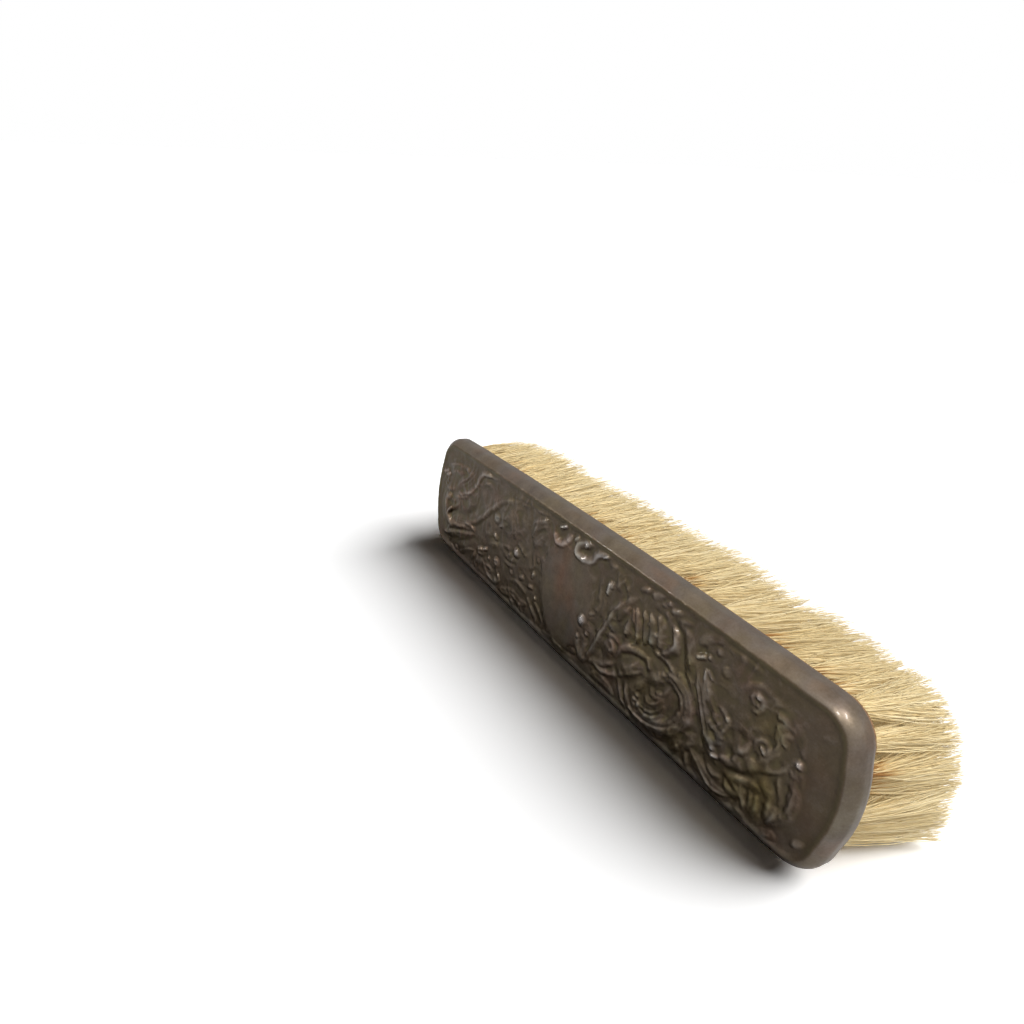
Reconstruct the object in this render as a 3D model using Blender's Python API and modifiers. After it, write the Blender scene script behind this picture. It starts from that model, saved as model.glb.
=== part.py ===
"""Silver-backed vanity brush without a handle, lying on one long side.

Each piece is modelled in the brush's own frame and then laid down together:
x runs along the brush, y across it, and z out of the silver face. The crease round the
silver face is at z = 0, and the bristles point to minus z. Lengths are in metres.
"""

import math

import bmesh
import bpy
from mathutils import Matrix, Vector

# Silver back: overall outline of the rim, and how it is rolled from the face to the side.
LENGTH = 0.170
WIDTH = 0.0415
SIDE_BOW = 0.0011
END_BOW = 0.0017
RIM_CORNER = 0.0094
RIM_DEPTH = 0.0054
FACE_INSET = 0.0023
FACE_CORNER = 0.0068
ROLL_START = 0.0030
ROLL_STEPS = 3
SILVER_THICKNESS = 0.0005

# Blank cartouche, a little to the far side of the face's middle.
CARTOUCHE_OFFSET = -0.0047
CARTOUCHE_LENGTH = 0.0245
CARTOUCHE_WIDTH = 0.0290
CARTOUCHE_HEIGHT = 0.0005
CARTOUCHE_SLOPE = 0.0008
CARTOUCHE_SIDES = 28

# Fit of one layer to the next, and of each tuft in its hole.
FIT_GAP = 0.0003
PITCH_THICKNESS = 0.0007
COVER_THICKNESS = 0.0010
STOCK_THICKNESS = 0.0035
# The rolled shoulder is thicker than the flat sheet where it bends in over the cover board.
COVER_CLEARANCE = 0.0006

# Tufts: seven staggered rows drawn through the stock. The margins run from the rim's widest
# outline to the centre of the nearest tufts.
END_MARGIN = 0.0044
SIDE_MARGIN = 0.00515
TUFTS_PER_ROW = (25, 26, 27, 26, 27, 26, 25)
TUFT_RADIUS = 0.00120
TUFT_SIDES = 6
HOLE_RADIUS = 0.00155
WIRE_RADIUS = 0.0003
WIRE_OVERHANG = 0.0010
WIRE_SIDES = 6
WIRE_CHANNEL_WALL = 0.0014

# Bristle field: each row's tufts close up into one hedge a little way out of the stock.
HEDGE_START = 0.0024
SHANK_OVERLAP = 0.0010
HEDGE_GAP = 0.0003
HEDGE_MARGIN = 0.0014
HEDGE_STATIONS = 17
TIP_DEPTH = 0.0340
TIP_SIDE_SPREAD = 0.0020
TIP_END_SPREAD = 0.0066
TIP_BOW = 0.0016
TIP_RAGGEDNESS = 0.0008
# The tips are worn shorter at the upper corners than along the side that lies on the ground.
UPPER_END_WEAR = 0.0010
LOWER_END_WEAR = -0.0015
# How far each row's tips reach along the brush, as a share of TIP_HALF_LENGTH.
TIP_REACH = (1.0, 1.0, 1.0, 0.995, 0.985, 0.960, 0.925)

# The brush leans back until the rim and the lowest bristle tips both touch the ground.
LEAN = math.radians(6.83)

# Points on each stretch of an outline. The long side has an odd number of flats, so that
# the brush lies on its middle one.
SIDE_FLATS = 9
END_FLATS = 5
CORNER_FLATS = 6
# Points of a board's top and side that meet within this distance are joined.
WELD_DISTANCE = 0.00001

ROWS = len(TUFTS_PER_ROW)
WOOD_INSET = SILVER_THICKNESS + FIT_GAP
SILVER_UNDERSIDE = -SILVER_THICKNESS
PITCH_TOP = SILVER_UNDERSIDE - FIT_GAP
PITCH_BOTTOM = PITCH_TOP - PITCH_THICKNESS
COVER_TOP = PITCH_BOTTOM - FIT_GAP
COVER_BOTTOM = COVER_TOP - COVER_THICKNESS
STOCK_TOP = COVER_BOTTOM - FIT_GAP
STOCK_BOTTOM = STOCK_TOP - STOCK_THICKNESS
WIRE_CENTRE = STOCK_TOP - FIT_GAP / 2 - WIRE_RADIUS
CHANNEL_FLOOR = WIRE_CENTRE - WIRE_RADIUS - FIT_GAP
HEDGE_BASE = STOCK_BOTTOM - HEDGE_START
OUTER_ROW = WIDTH / 2 - SIDE_MARGIN
OUTER_TUFT = LENGTH / 2 - END_MARGIN
ROW_PITCH = 2 * OUTER_ROW / (ROWS - 1)
TUFT_PITCH = 2 * OUTER_TUFT / (max(TUFTS_PER_ROW) - 1)
TIP_HALF_WIDTH = OUTER_ROW + TIP_SIDE_SPREAD
TIP_HALF_LENGTH = OUTER_TUFT + TIP_END_SPREAD


def clear_scene():
    for obj in list(bpy.data.objects):
        bpy.data.objects.remove(obj)


def new_collection(name):
    collection = bpy.data.collections.new(name)
    bpy.context.scene.collection.children.link(collection)
    return collection


def new_material(name, colour, metallic, roughness):
    material = bpy.data.materials.new(name)
    material.use_nodes = True
    shader = material.node_tree.nodes["Principled BSDF"]
    shader.inputs["Base Color"].default_value = (*colour, 1.0)
    shader.inputs["Metallic"].default_value = metallic
    shader.inputs["Roughness"].default_value = roughness
    material.diffuse_color = (*colour, 1.0)
    return material


def outline(inset, corner):
    """Points round the brush, anticlockwise: a long rectangle with bowed sides and round corners."""
    half_length = LENGTH / 2 - inset
    half_width = WIDTH / 2 - inset
    corner_x = half_length - corner - END_BOW
    corner_y = half_width - SIDE_BOW - corner
    quarter = []
    for i in range(END_FLATS // 2 + 1, END_FLATS):
        s = 2 * i / END_FLATS - 1
        quarter.append((half_length - END_BOW * s * s, corner_y * s))
    for i in range(CORNER_FLATS + 1):
        a = math.pi / 2 * i / CORNER_FLATS
        quarter.append((corner_x + corner * math.cos(a), corner_y + corner * math.sin(a)))
    for i in range(1, SIDE_FLATS // 2 + 1):
        s = 1 - 2 * i / SIDE_FLATS
        quarter.append((corner_x * s, half_width - SIDE_BOW * s * s))
    half = quarter + [(-x, y) for x, y in reversed(quarter)]
    return half + [(-x, -y) for x, y in half]


def rim_outline(inset):
    """The rim's outline, moved inwards; its corners tighten as it goes in."""
    tighten = (RIM_CORNER - FACE_CORNER) / FACE_INSET
    return outline(inset, RIM_CORNER - tighten * inset)


def loft(name, rings, collection, material=None, splits=None, cap_last=True):
    """A surface through closed rings of 3-D points, filled at its first ring and its last.

    splits says for each side of a ring whether its quads are cut from the next corner of the
    lower ring (True) or from this corner (False), so that two facing solids can be cut alike.
    """
    bm = bmesh.new()
    made = [[bm.verts.new(point) for point in ring] for ring in rings]
    for lower, upper in zip(made, made[1:]):
        for i in range(len(lower)):
            j = (i + 1) % len(lower)
            if splits is None:
                bm.faces.new((lower[i], lower[j], upper[j], upper[i]))
            elif splits[i]:
                bm.faces.new((lower[i], lower[j], upper[i]))
                bm.faces.new((lower[j], upper[j], upper[i]))
            else:
                bm.faces.new((lower[i], lower[j], upper[j]))
                bm.faces.new((lower[i], upper[j], upper[i]))
    bm.faces.new(made[0])
    if cap_last:
        bm.faces.new(made[-1])
    bmesh.ops.recalc_face_normals(bm, faces=bm.faces)
    return object_from(name, bm, collection, material)


def object_from(name, bm, collection, material=None):
    mesh = bpy.data.meshes.new(name)
    bm.to_mesh(mesh)
    bm.free()
    if material is not None:
        mesh.materials.append(material)
    made = bpy.data.objects.new(name, mesh)
    collection.objects.link(made)
    return made


def plate(name, points, low, high, collection, material=None):
    """A flat board between two heights: a filled outline with a thickness."""
    curve = bpy.data.curves.new(name, "CURVE")
    curve.dimensions = "2D"
    curve.fill_mode = "BOTH"
    curve.extrude = (high - low) / 2
    spline = curve.splines.new("POLY")
    spline.points.add(len(points) - 1)
    for corner, (x, y) in zip(spline.points, points):
        corner.co = (x, y, 0, 1)
    spline.use_cyclic_u = True
    if material is not None:
        curve.materials.append(material)
    board = bpy.data.objects.new(name, curve)
    board.location.z = (high + low) / 2
    collection.objects.link(board)
    return board


def as_mesh(curve_object):
    """The same object with a closed mesh in place of its curve, so that it can be cut or can cut."""
    graph = bpy.context.evaluated_depsgraph_get()
    mesh = bpy.data.meshes.new_from_object(curve_object.evaluated_get(graph))
    bm = bmesh.new()
    bm.from_mesh(mesh)
    bmesh.ops.remove_doubles(bm, verts=bm.verts, dist=WELD_DISTANCE)
    bm.to_mesh(mesh)
    bm.free()
    name = curve_object.name
    collection = curve_object.users_collection[0]
    place = curve_object.matrix_world.copy()
    bpy.data.objects.remove(curve_object)
    made = bpy.data.objects.new(name, mesh)
    made.matrix_world = place
    collection.objects.link(made)
    return made


def at_height(points, z):
    return [(x, y, z) for x, y in points]


def use_boolean(target, tool, operation):
    modifier = target.modifiers.new(operation.title() + " " + tool.name, "BOOLEAN")
    modifier.operation = operation
    modifier.solver = "EXACT"
    modifier.object = tool


def hide_cutter(cutter):
    cutter.hide_render = True
    cutter.display_type = "WIRE"
    return cutter


def smooth_round_faces(mesh_object):
    for face in mesh_object.data.polygons:
        face.use_smooth = True
    mesh_object.data.set_sharp_from_angle(angle=math.radians(32))


def tuft_places(row):
    """Centres of a row's tufts, in the plane of the stock."""
    count = TUFTS_PER_ROW[row]
    y = (row - (ROWS - 1) / 2) * ROW_PITCH
    return [((i - (count - 1) / 2) * TUFT_PITCH, y) for i in range(count)]


def upright_rods(name, places, radius, sides, low, high, collection):
    """Rods that stand in the stock's plane, in one mesh, one at each place."""
    bm = bmesh.new()
    for x, y in places:
        bmesh.ops.create_cone(
            bm,
            cap_ends=True,
            segments=sides,
            radius1=radius,
            radius2=radius,
            depth=high - low,
            matrix=Matrix.Translation((x, y, (low + high) / 2)),
        )
    return object_from(name, bm, collection)


def roll_profile():
    """(inset, z) from the crease of the face, round the rolled shoulder, to the rim's side."""
    points = []
    for i in range(ROLL_STEPS + 1):
        a = math.pi / 2 * i / ROLL_STEPS
        points.append((FACE_INSET * (1 - math.sin(a)), -ROLL_START * (1 - math.cos(a))))
    return points


def build_cartouche(cutters):
    """The blank cartouche's raised field, with sloping edges; it is joined to the silver back."""
    bm = bmesh.new()
    depth = CARTOUCHE_HEIGHT + SILVER_THICKNESS / 2
    bmesh.ops.create_cone(
        bm,
        cap_ends=True,
        segments=CARTOUCHE_SIDES,
        radius1=0.5 + CARTOUCHE_SLOPE / CARTOUCHE_LENGTH,
        radius2=0.5,
        depth=depth,
        matrix=Matrix.Translation((0, 0, CARTOUCHE_HEIGHT - depth / 2)),
    )
    bmesh.ops.scale(bm, verts=bm.verts, vec=(CARTOUCHE_LENGTH, CARTOUCHE_WIDTH, 1))
    bmesh.ops.translate(bm, verts=bm.verts, vec=(CARTOUCHE_OFFSET, 0, 0))
    return hide_cutter(object_from("cartouche_boss", bm, cutters))


def build_silver_back(part, cutters):
    """Stamped sheet, rolled over at the shoulder, with the blank cartouche standing on its face."""
    material = new_material("tarnished_silver", (0.30, 0.27, 0.24), 0.9, 0.38)
    rings = [at_height(rim_outline(inset), z) for inset, z in roll_profile()]
    rings.append(at_height(rim_outline(0), -RIM_DEPTH))
    shell = loft("silver_back", rings, part, material, cap_last=False)
    sheet = shell.modifiers.new("Sheet thickness", "SOLIDIFY")
    sheet.thickness = SILVER_THICKNESS
    sheet.offset = -1
    sheet.use_even_offset = True
    boss = build_cartouche(cutters)
    use_boolean(shell, boss, "UNION")
    smooth_round_faces(shell)
    return [shell, boss]


def build_pitch_bed(part):
    """Hard pitch poured into the stamping, which bonds it to the wood."""
    material = new_material("pitch", (0.045, 0.032, 0.024), 0.0, 0.6)
    points = rim_outline(FACE_INSET + FIT_GAP)
    return [plate("pitch_bed", points, PITCH_BOTTOM, PITCH_TOP, part, material)]


def build_cover_board(part):
    """Thin board glued over the backs of the tufts."""
    material = new_material("cover_wood", (0.30, 0.16, 0.07), 0.0, 0.55)
    points = rim_outline(WOOD_INSET + COVER_CLEARANCE)
    return [plate("cover_board", points, COVER_BOTTOM, COVER_TOP, part, material)]


def build_stock(part, cutters):
    """Drilled board that holds the tufts; a shallow channel in its back takes the wires."""
    material = new_material("stock_wood", (0.36, 0.20, 0.09), 0.0, 0.5)
    points = rim_outline(WOOD_INSET)
    stock = as_mesh(plate("bristle_stock", points, STOCK_BOTTOM, STOCK_TOP, part, material))
    channel = as_mesh(
        plate(
            "wire_channel_cutter",
            rim_outline(WOOD_INSET + WIRE_CHANNEL_WALL),
            CHANNEL_FLOOR,
            STOCK_TOP + FIT_GAP,
            cutters,
        )
    )
    drill = upright_rods(
        "tuft_hole_cutter",
        [place for row in range(ROWS) for place in tuft_places(row)],
        HOLE_RADIUS,
        TUFT_SIDES,
        STOCK_BOTTOM - FIT_GAP,
        STOCK_TOP,
        cutters,
    )
    for cutter in (channel, drill):
        use_boolean(stock, hide_cutter(cutter), "DIFFERENCE")
    return [stock, channel, drill]


def build_wire(part, row, material):
    """Draw wire that runs behind one row and holds every bent tuft in its hole."""
    places = tuft_places(row)
    reach = places[-1][0] + WIRE_OVERHANG
    curve = bpy.data.curves.new("draw_wire", "CURVE")
    curve.dimensions = "3D"
    curve.bevel_depth = WIRE_RADIUS
    curve.bevel_resolution = (WIRE_SIDES - 4) // 2
    curve.use_fill_caps = True
    spline = curve.splines.new("POLY")
    spline.points.add(1)
    for point, x in zip(spline.points, (-reach, reach)):
        point.co = (x, places[0][1], WIRE_CENTRE, 1)
    wire = bpy.data.objects.new(f"draw_wire_{row + 1}", curve)
    part.objects.link(wire)
    curve.materials.append(material)
    return wire


def root_line(x, edge):
    """Where the line between two hedges leaves the tufts; edge counts the lines across the brush."""
    outermost = OUTER_ROW + HEDGE_MARGIN
    y = (edge - ROWS / 2) * ROW_PITCH
    return Vector((x, max(-outermost, min(outermost, y)), HEDGE_BASE))


def ground_line(z):
    """The y of the ground, in the brush's frame, at the depth z."""
    widest = WIDTH / 2 - SIDE_BOW / SIDE_FLATS**2
    return -widest + (-RIM_DEPTH - z) * math.tan(LEAN)


def tip_line(x, edge):
    """Where that line ends at full length: the low side lies on the ground, the top fans out."""
    low = ground_line(-TIP_DEPTH)
    top = TIP_HALF_WIDTH - TIP_BOW * (x / TIP_HALF_LENGTH) ** 2
    return Vector((x, low + edge / ROWS * (top - low), -TIP_DEPTH))


def missing_length(x, edge, row, station):
    """How much shorter than full length the tips are: worn at the ends, and a little uneven."""
    share = edge / ROWS
    at_end = share * UPPER_END_WEAR + (1 - share) * LOWER_END_WEAR
    wave = math.sin(2.4 * station + 1.9 * row) + math.sin(5.3 * station + 0.7 * row)
    return at_end * (x / TIP_HALF_LENGTH) ** 4 + TIP_RAGGEDNESS * wave / 2


def hedge_ring(row, station):
    """The four corners of one hedge at a station along the brush."""
    s = 2 * station / (HEDGE_STATIONS - 1) - 1
    root_x = s * (tuft_places(row)[-1][0] + HEDGE_MARGIN)
    tip_x = s * TIP_HALF_LENGTH * TIP_REACH[row]
    corners = []
    for edge, side in ((row, 1), (row + 1, -1)):
        aside = Vector((0, side * HEDGE_GAP / 2, 0))
        root = root_line(root_x, edge)
        missing = missing_length(tip_x, edge, row, station)
        tip = root.lerp(tip_line(tip_x, edge), 1 - missing / (TIP_DEPTH + HEDGE_BASE))
        corners.append((root + aside, tip + aside))
    (root_low, tip_low), (root_high, tip_high) = corners
    if row == 0:
        tip_low.y = ground_line(tip_low.z)
    return [root_low, root_high, tip_high, tip_low]


def build_bristle_row(part, cutters, row, material):
    """One row of tufts: a shank in each hole, closing up into a hedge that fans to the tips."""
    rings = [hedge_ring(row, station) for station in range(HEDGE_STATIONS)]
    splits = (False, False, False, True)
    hedge = loft(f"bristle_row_{row + 1}", rings, part, material, splits)
    shanks = upright_rods(
        f"shanks_{row + 1}",
        tuft_places(row),
        TUFT_RADIUS,
        TUFT_SIDES,
        HEDGE_BASE - SHANK_OVERLAP,
        CHANNEL_FLOOR,
        cutters,
    )
    use_boolean(hedge, hide_cutter(shanks), "UNION")
    return [hedge, shanks]


def lay_down(pieces):
    """Turns the brush onto its long side, leaning back, and sets it on the ground at the origin."""
    pose = bpy.data.objects.new("lying_pose", None)
    bpy.context.scene.collection.objects.link(pose)
    pose.rotation_euler = (math.pi / 2 - LEAN, 0, 0)
    for piece in pieces:
        piece.parent = pose
    bpy.context.view_layer.update()
    graph = bpy.context.evaluated_depsgraph_get()
    corners = []
    for piece in pieces:
        if piece.hide_render:
            continue
        evaluated = piece.evaluated_get(graph)
        mesh = evaluated.to_mesh()
        corners += [evaluated.matrix_world @ vertex.co for vertex in mesh.vertices]
        evaluated.to_mesh_clear()
    low = Vector([min(corner[axis] for corner in corners) for axis in range(3)])
    high = Vector([max(corner[axis] for corner in corners) for axis in range(3)])
    middle = (low + high) / 2
    pose.location = (-middle.x, -middle.y, -low.z)


def build_brush():
    clear_scene()
    part = new_collection("vanity_brush")
    cutters = new_collection("cutters")
    pieces = []
    pieces += build_silver_back(part, cutters)
    pieces += build_pitch_bed(part)
    pieces += build_cover_board(part)
    pieces += build_stock(part, cutters)
    brass = new_material("draw_wire_brass", (0.62, 0.44, 0.20), 1.0, 0.35)
    cream = new_material("bristle", (0.72, 0.60, 0.38), 0.0, 0.6)
    for row in range(ROWS):
        pieces.append(build_wire(part, row, brass))
        pieces += build_bristle_row(part, cutters, row, cream)
    lay_down(pieces)


build_brush()
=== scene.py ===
"""Looks of the silver-backed vanity brush: stamped and tarnished silver back, wood and natural bristle.

The stamped ornament is drawn in the brush's own frame, in millimetres: x along the brush, y across
it, z out of the silver face, with the crease round the face at z = 0.
"""

import math

import bpy
import numpy as np
from mathutils import Euler, Matrix, Vector, noise as marble


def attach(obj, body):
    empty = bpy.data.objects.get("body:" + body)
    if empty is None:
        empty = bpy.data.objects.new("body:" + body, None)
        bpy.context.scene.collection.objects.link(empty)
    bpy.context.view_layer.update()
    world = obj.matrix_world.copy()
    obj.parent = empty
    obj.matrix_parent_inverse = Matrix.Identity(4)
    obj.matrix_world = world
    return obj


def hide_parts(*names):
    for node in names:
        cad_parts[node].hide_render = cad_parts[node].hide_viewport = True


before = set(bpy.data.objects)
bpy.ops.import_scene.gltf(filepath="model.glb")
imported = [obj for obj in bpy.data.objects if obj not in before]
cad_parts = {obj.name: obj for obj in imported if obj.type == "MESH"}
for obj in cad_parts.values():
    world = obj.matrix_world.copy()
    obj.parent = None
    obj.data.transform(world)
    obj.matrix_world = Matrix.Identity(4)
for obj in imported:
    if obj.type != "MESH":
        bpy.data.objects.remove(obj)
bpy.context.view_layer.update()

MM = 0.001

# The brush's own dimensions, in millimetres, as the CAD solids have them.
LEAN = math.radians(6.83)
SIDE_BOW = 1.1
END_BOW = 1.7
FACE_INSET = 2.3
FACE_CORNER = 6.8
ROLL_START = 3.0
RIM_DEPTH = 5.4
SILVER_THICKNESS = 0.5
STOCK_BOTTOM = -6.6
END_MARGIN = 4.4
SIDE_MARGIN = 5.15
TUFTS_PER_ROW = (25, 26, 27, 26, 27, 26, 25)
ROWS = len(TUFTS_PER_ROW)
TUFT_RADIUS = 1.2
TIP_DEPTH = 34.0
TIP_HALF_LENGTH = 87.2
CARTOUCHE_CENTRE = -4.7
CARTOUCHE_LENGTH = 24.6
CARTOUCHE_WIDTH = 29.0

# The dense mesh of the silver: squares along and across the face, and rings round the rim.
FACE_COLUMNS = 800
FACE_ROWS = 180
ROLL_RINGS = 9
ROLL_SQUARENESS = 0.64
SIDE_RINGS = 3

# The stamping, in millimetres where it is a size.
RELIEF = 0.82
FIELD_HEIGHT = 0.34
FOLD_SPREAD = 2.3
GROUND_LEVEL = -0.24
CREST_WIDTH = 0.12
COVE_WIDTH = 1.6
PLAIN_START = 76.0
PLAIN_FADE = 4.0
VEIN_SIZE = 3.2
VEIN_HEIGHT = 0.06
WAVER_HEIGHT = 0.08
CREST_WAVER = 0.035
CREST_RIPPLE = 0.02
CREST_DROP = 0.03
RIM_WAVER = 0.02
NICK_DEPTH = 0.16

# How often each smoothing averages neighbours.
CREASE_SOFTENING = 60
SOFTENING = 2
WORK_REACH = 14
HOLLOW_REACH = 50
WEAR_SOFTENING = 4

# How bright each kind of place is coloured, from wear and from painted light, as marked below. Below zero
# is darker.
FULLY_PROUD = 0.34
FOLD_WEAR = 2.5
CARTOUCHE_WEAR = 0.42
VEIN_WEAR = 0.3
# Painted reflection: the lower side of the face coloured lighter, as if mirroring a lit floor.
LOWER_SIDE_PAINTED_REFLECTION = 0.6
# Painted shade: the cove just inside the crease coloured darker, except along the lower side.
COVE_PAINTED_SHADE = -0.7
# The face coloured darker towards the far end.
FAR_END_DARKENING = -0.28
RIM_WEAR = 0.6
# Painted light on the rim: painted reflection at its near end and lower edge, and a painted glint on the
# lip.
NEAR_RIM_PAINTED_REFLECTION = 0.35
LOWER_RIM_PAINTED_REFLECTION = 0.9
LIP_PAINTED_GLINT = 1.3
INSIDE_WEAR = -0.8

# The strands of bristle, in millimetres where it is a size.
STRANDS_PER_TUFT = 215
STRAND_STATIONS = (0, 0.2, 0.4, 0.6, 0.8, 0.975, 1)
STRAND_SIDES = 3
STRAND_RADIUS = 0.093
ROOT_DEPTH = 0.9
TIP_FLARE = 1.4
TIP_SCATTER = 1.3
ROW_SCATTER = 0.25
CLUMP_PITCH = 2.3
CLUMP_PULL = 0.45
BEND = 0.45
STRAY_BEND = 1.5
SWAY = 0.26
STRAY_SHARE = 0.004
# Share of tufts whose amber root colour runs further up: painted shade in the gaps between tufts.
AMBER_ROOT_SHADE_SHARE = 0.3
END_ROUNDING = 26.0
LOWER_EDGE_RISE = 2.5

# The studio: how bright the floor and the world are as light, to the camera and in the silver.
WORLD_FILL = 0.008
WORLD_MIRRORED = (0.36, 0.85)
WORLD_BESIDE = (0.8, 1.6)
FLOOR_LIT = 0.65
FLOOR_SEEN = 1.25
FLOOR_MIRRORED = 0.50
FLOOR_REACH = 8.0
LAMP_TARGET = (0, 0, 0.02)


# --- Where the CAD says the brush lies -------------------------------------------------------

def brush_pose():
    """The brush's frame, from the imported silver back, and its length and width in millimetres."""
    turn = Euler((math.pi / 2 - LEAN, 0, 0)).to_matrix()
    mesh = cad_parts["silver_back"].data
    corners = np.array([vertex.co for vertex in mesh.vertices]) @ np.array(turn)
    low, high = corners.min(axis=0), corners.max(axis=0)
    origin = Vector(((low[0] + high[0]) / 2, (low[1] + high[1]) / 2, low[2] + RIM_DEPTH * MM))
    place = Matrix.Translation(turn @ origin) @ turn.to_4x4()
    return place, (high[0] - low[0]) / MM, (high[1] - low[1]) / MM


# --- Curves and fields that several pieces use ------------------------------------------------

def rise(value, start, end):
    """0 at start, 1 at end, straight between them and level beyond."""
    return np.clip((value - start) / (end - start), 0, 1)


def ease(share):
    """A share from 0 to 1 that starts and stops gently."""
    return share * share * (3 - 2 * share)


def hump(offset, width):
    """A bell curve: 1 in the middle, and fading over the width."""
    return np.exp(-((offset / width) ** 2))


def patches(x, y, *spots):
    """The sum of soft oval patches, each given by its x, y, half-length, half-width and strength."""
    return sum(strength * hump(x - spot_x, half_x) * hump(y - spot_y, half_y)
               for spot_x, spot_y, half_x, half_y, strength in spots)


def uneven(x, y, size, seed):
    """Smooth unevenness of about the given size, from crossed waves, between about -1 and 1."""
    rng = np.random.default_rng(seed)
    total = np.zeros_like(x)
    for _ in range(9):
        heading, phase = rng.uniform(0, 2 * math.pi, 2)
        wave = 2 * math.pi / (size * rng.uniform(0.7, 1.6))
        total += np.sin(wave * (x * math.cos(heading) + y * math.sin(heading)) + phase)
    return total / 4


def veins(x, y, size):
    """Fine wandering veins of about the given size, as leafwork keeps after wear, about 0 on average."""
    across, up = x + 0.8 * uneven(x, y, 7, 1), y + 0.8 * uneven(x, y, 7, 2)
    places = (np.stack([across, up, np.zeros_like(x)], axis=-1).reshape(-1, 3) / size).tolist()
    depth = np.array([marble.ridged_multi_fractal(place, 0.9, 2.1, 3, 0.9, 2.0) for place in places])
    return ((depth - depth.mean()) / depth.std()).reshape(x.shape).clip(-2, 2)


def scramble(a, b):
    """A number from 0 to 1 that looks random, and is the same for the same a and b."""
    return np.sin(12.9898 * a + 78.233 * b) * 43758.5453 % 1


def smoothed(grid, passes):
    """Each value averaged with those round it, the given number of times."""
    for _ in range(passes):
        padded = np.pad(grid, 1, mode="edge")
        rows = (padded[:-2] + 2 * padded[1:-1] + padded[2:]) / 4
        grid = (rows[:, :-2] + 2 * rows[:, 1:-1] + rows[:, 2:]) / 4
    return grid


# --- The stamped ornament --------------------------------------------------------------------

def smooth_line(points, steps=7):
    """A smooth line through the given points (Catmull-Rom)."""
    inner = np.array(points, float)
    p = np.concatenate([2 * inner[:1] - inner[1:2], inner, 2 * inner[-1:] - inner[-2:-1]])
    t = np.linspace(0, 1, steps, endpoint=False)[:, None]
    stretches = [
        0.5 * (2 * b + (c - a) * t + (2 * a - 5 * b + 4 * c - d) * t**2 + (3 * b - a - 3 * c + d) * t**3)
        for a, b, c, d in zip(p, p[1:], p[2:], p[3:])
    ]
    return np.concatenate(stretches + [inner[-1:]])


def taper(share, root, tip):
    """1 along a line, falling to 0 over the root and the tip, each given as a share of it."""
    return rise(share, 0, root) * rise(share, 1, 1 - tip)


def each(draw, *rows):
    """Draws the same kind of work with each row of sizes and places."""
    for row in rows:
        draw(*row)


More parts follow.
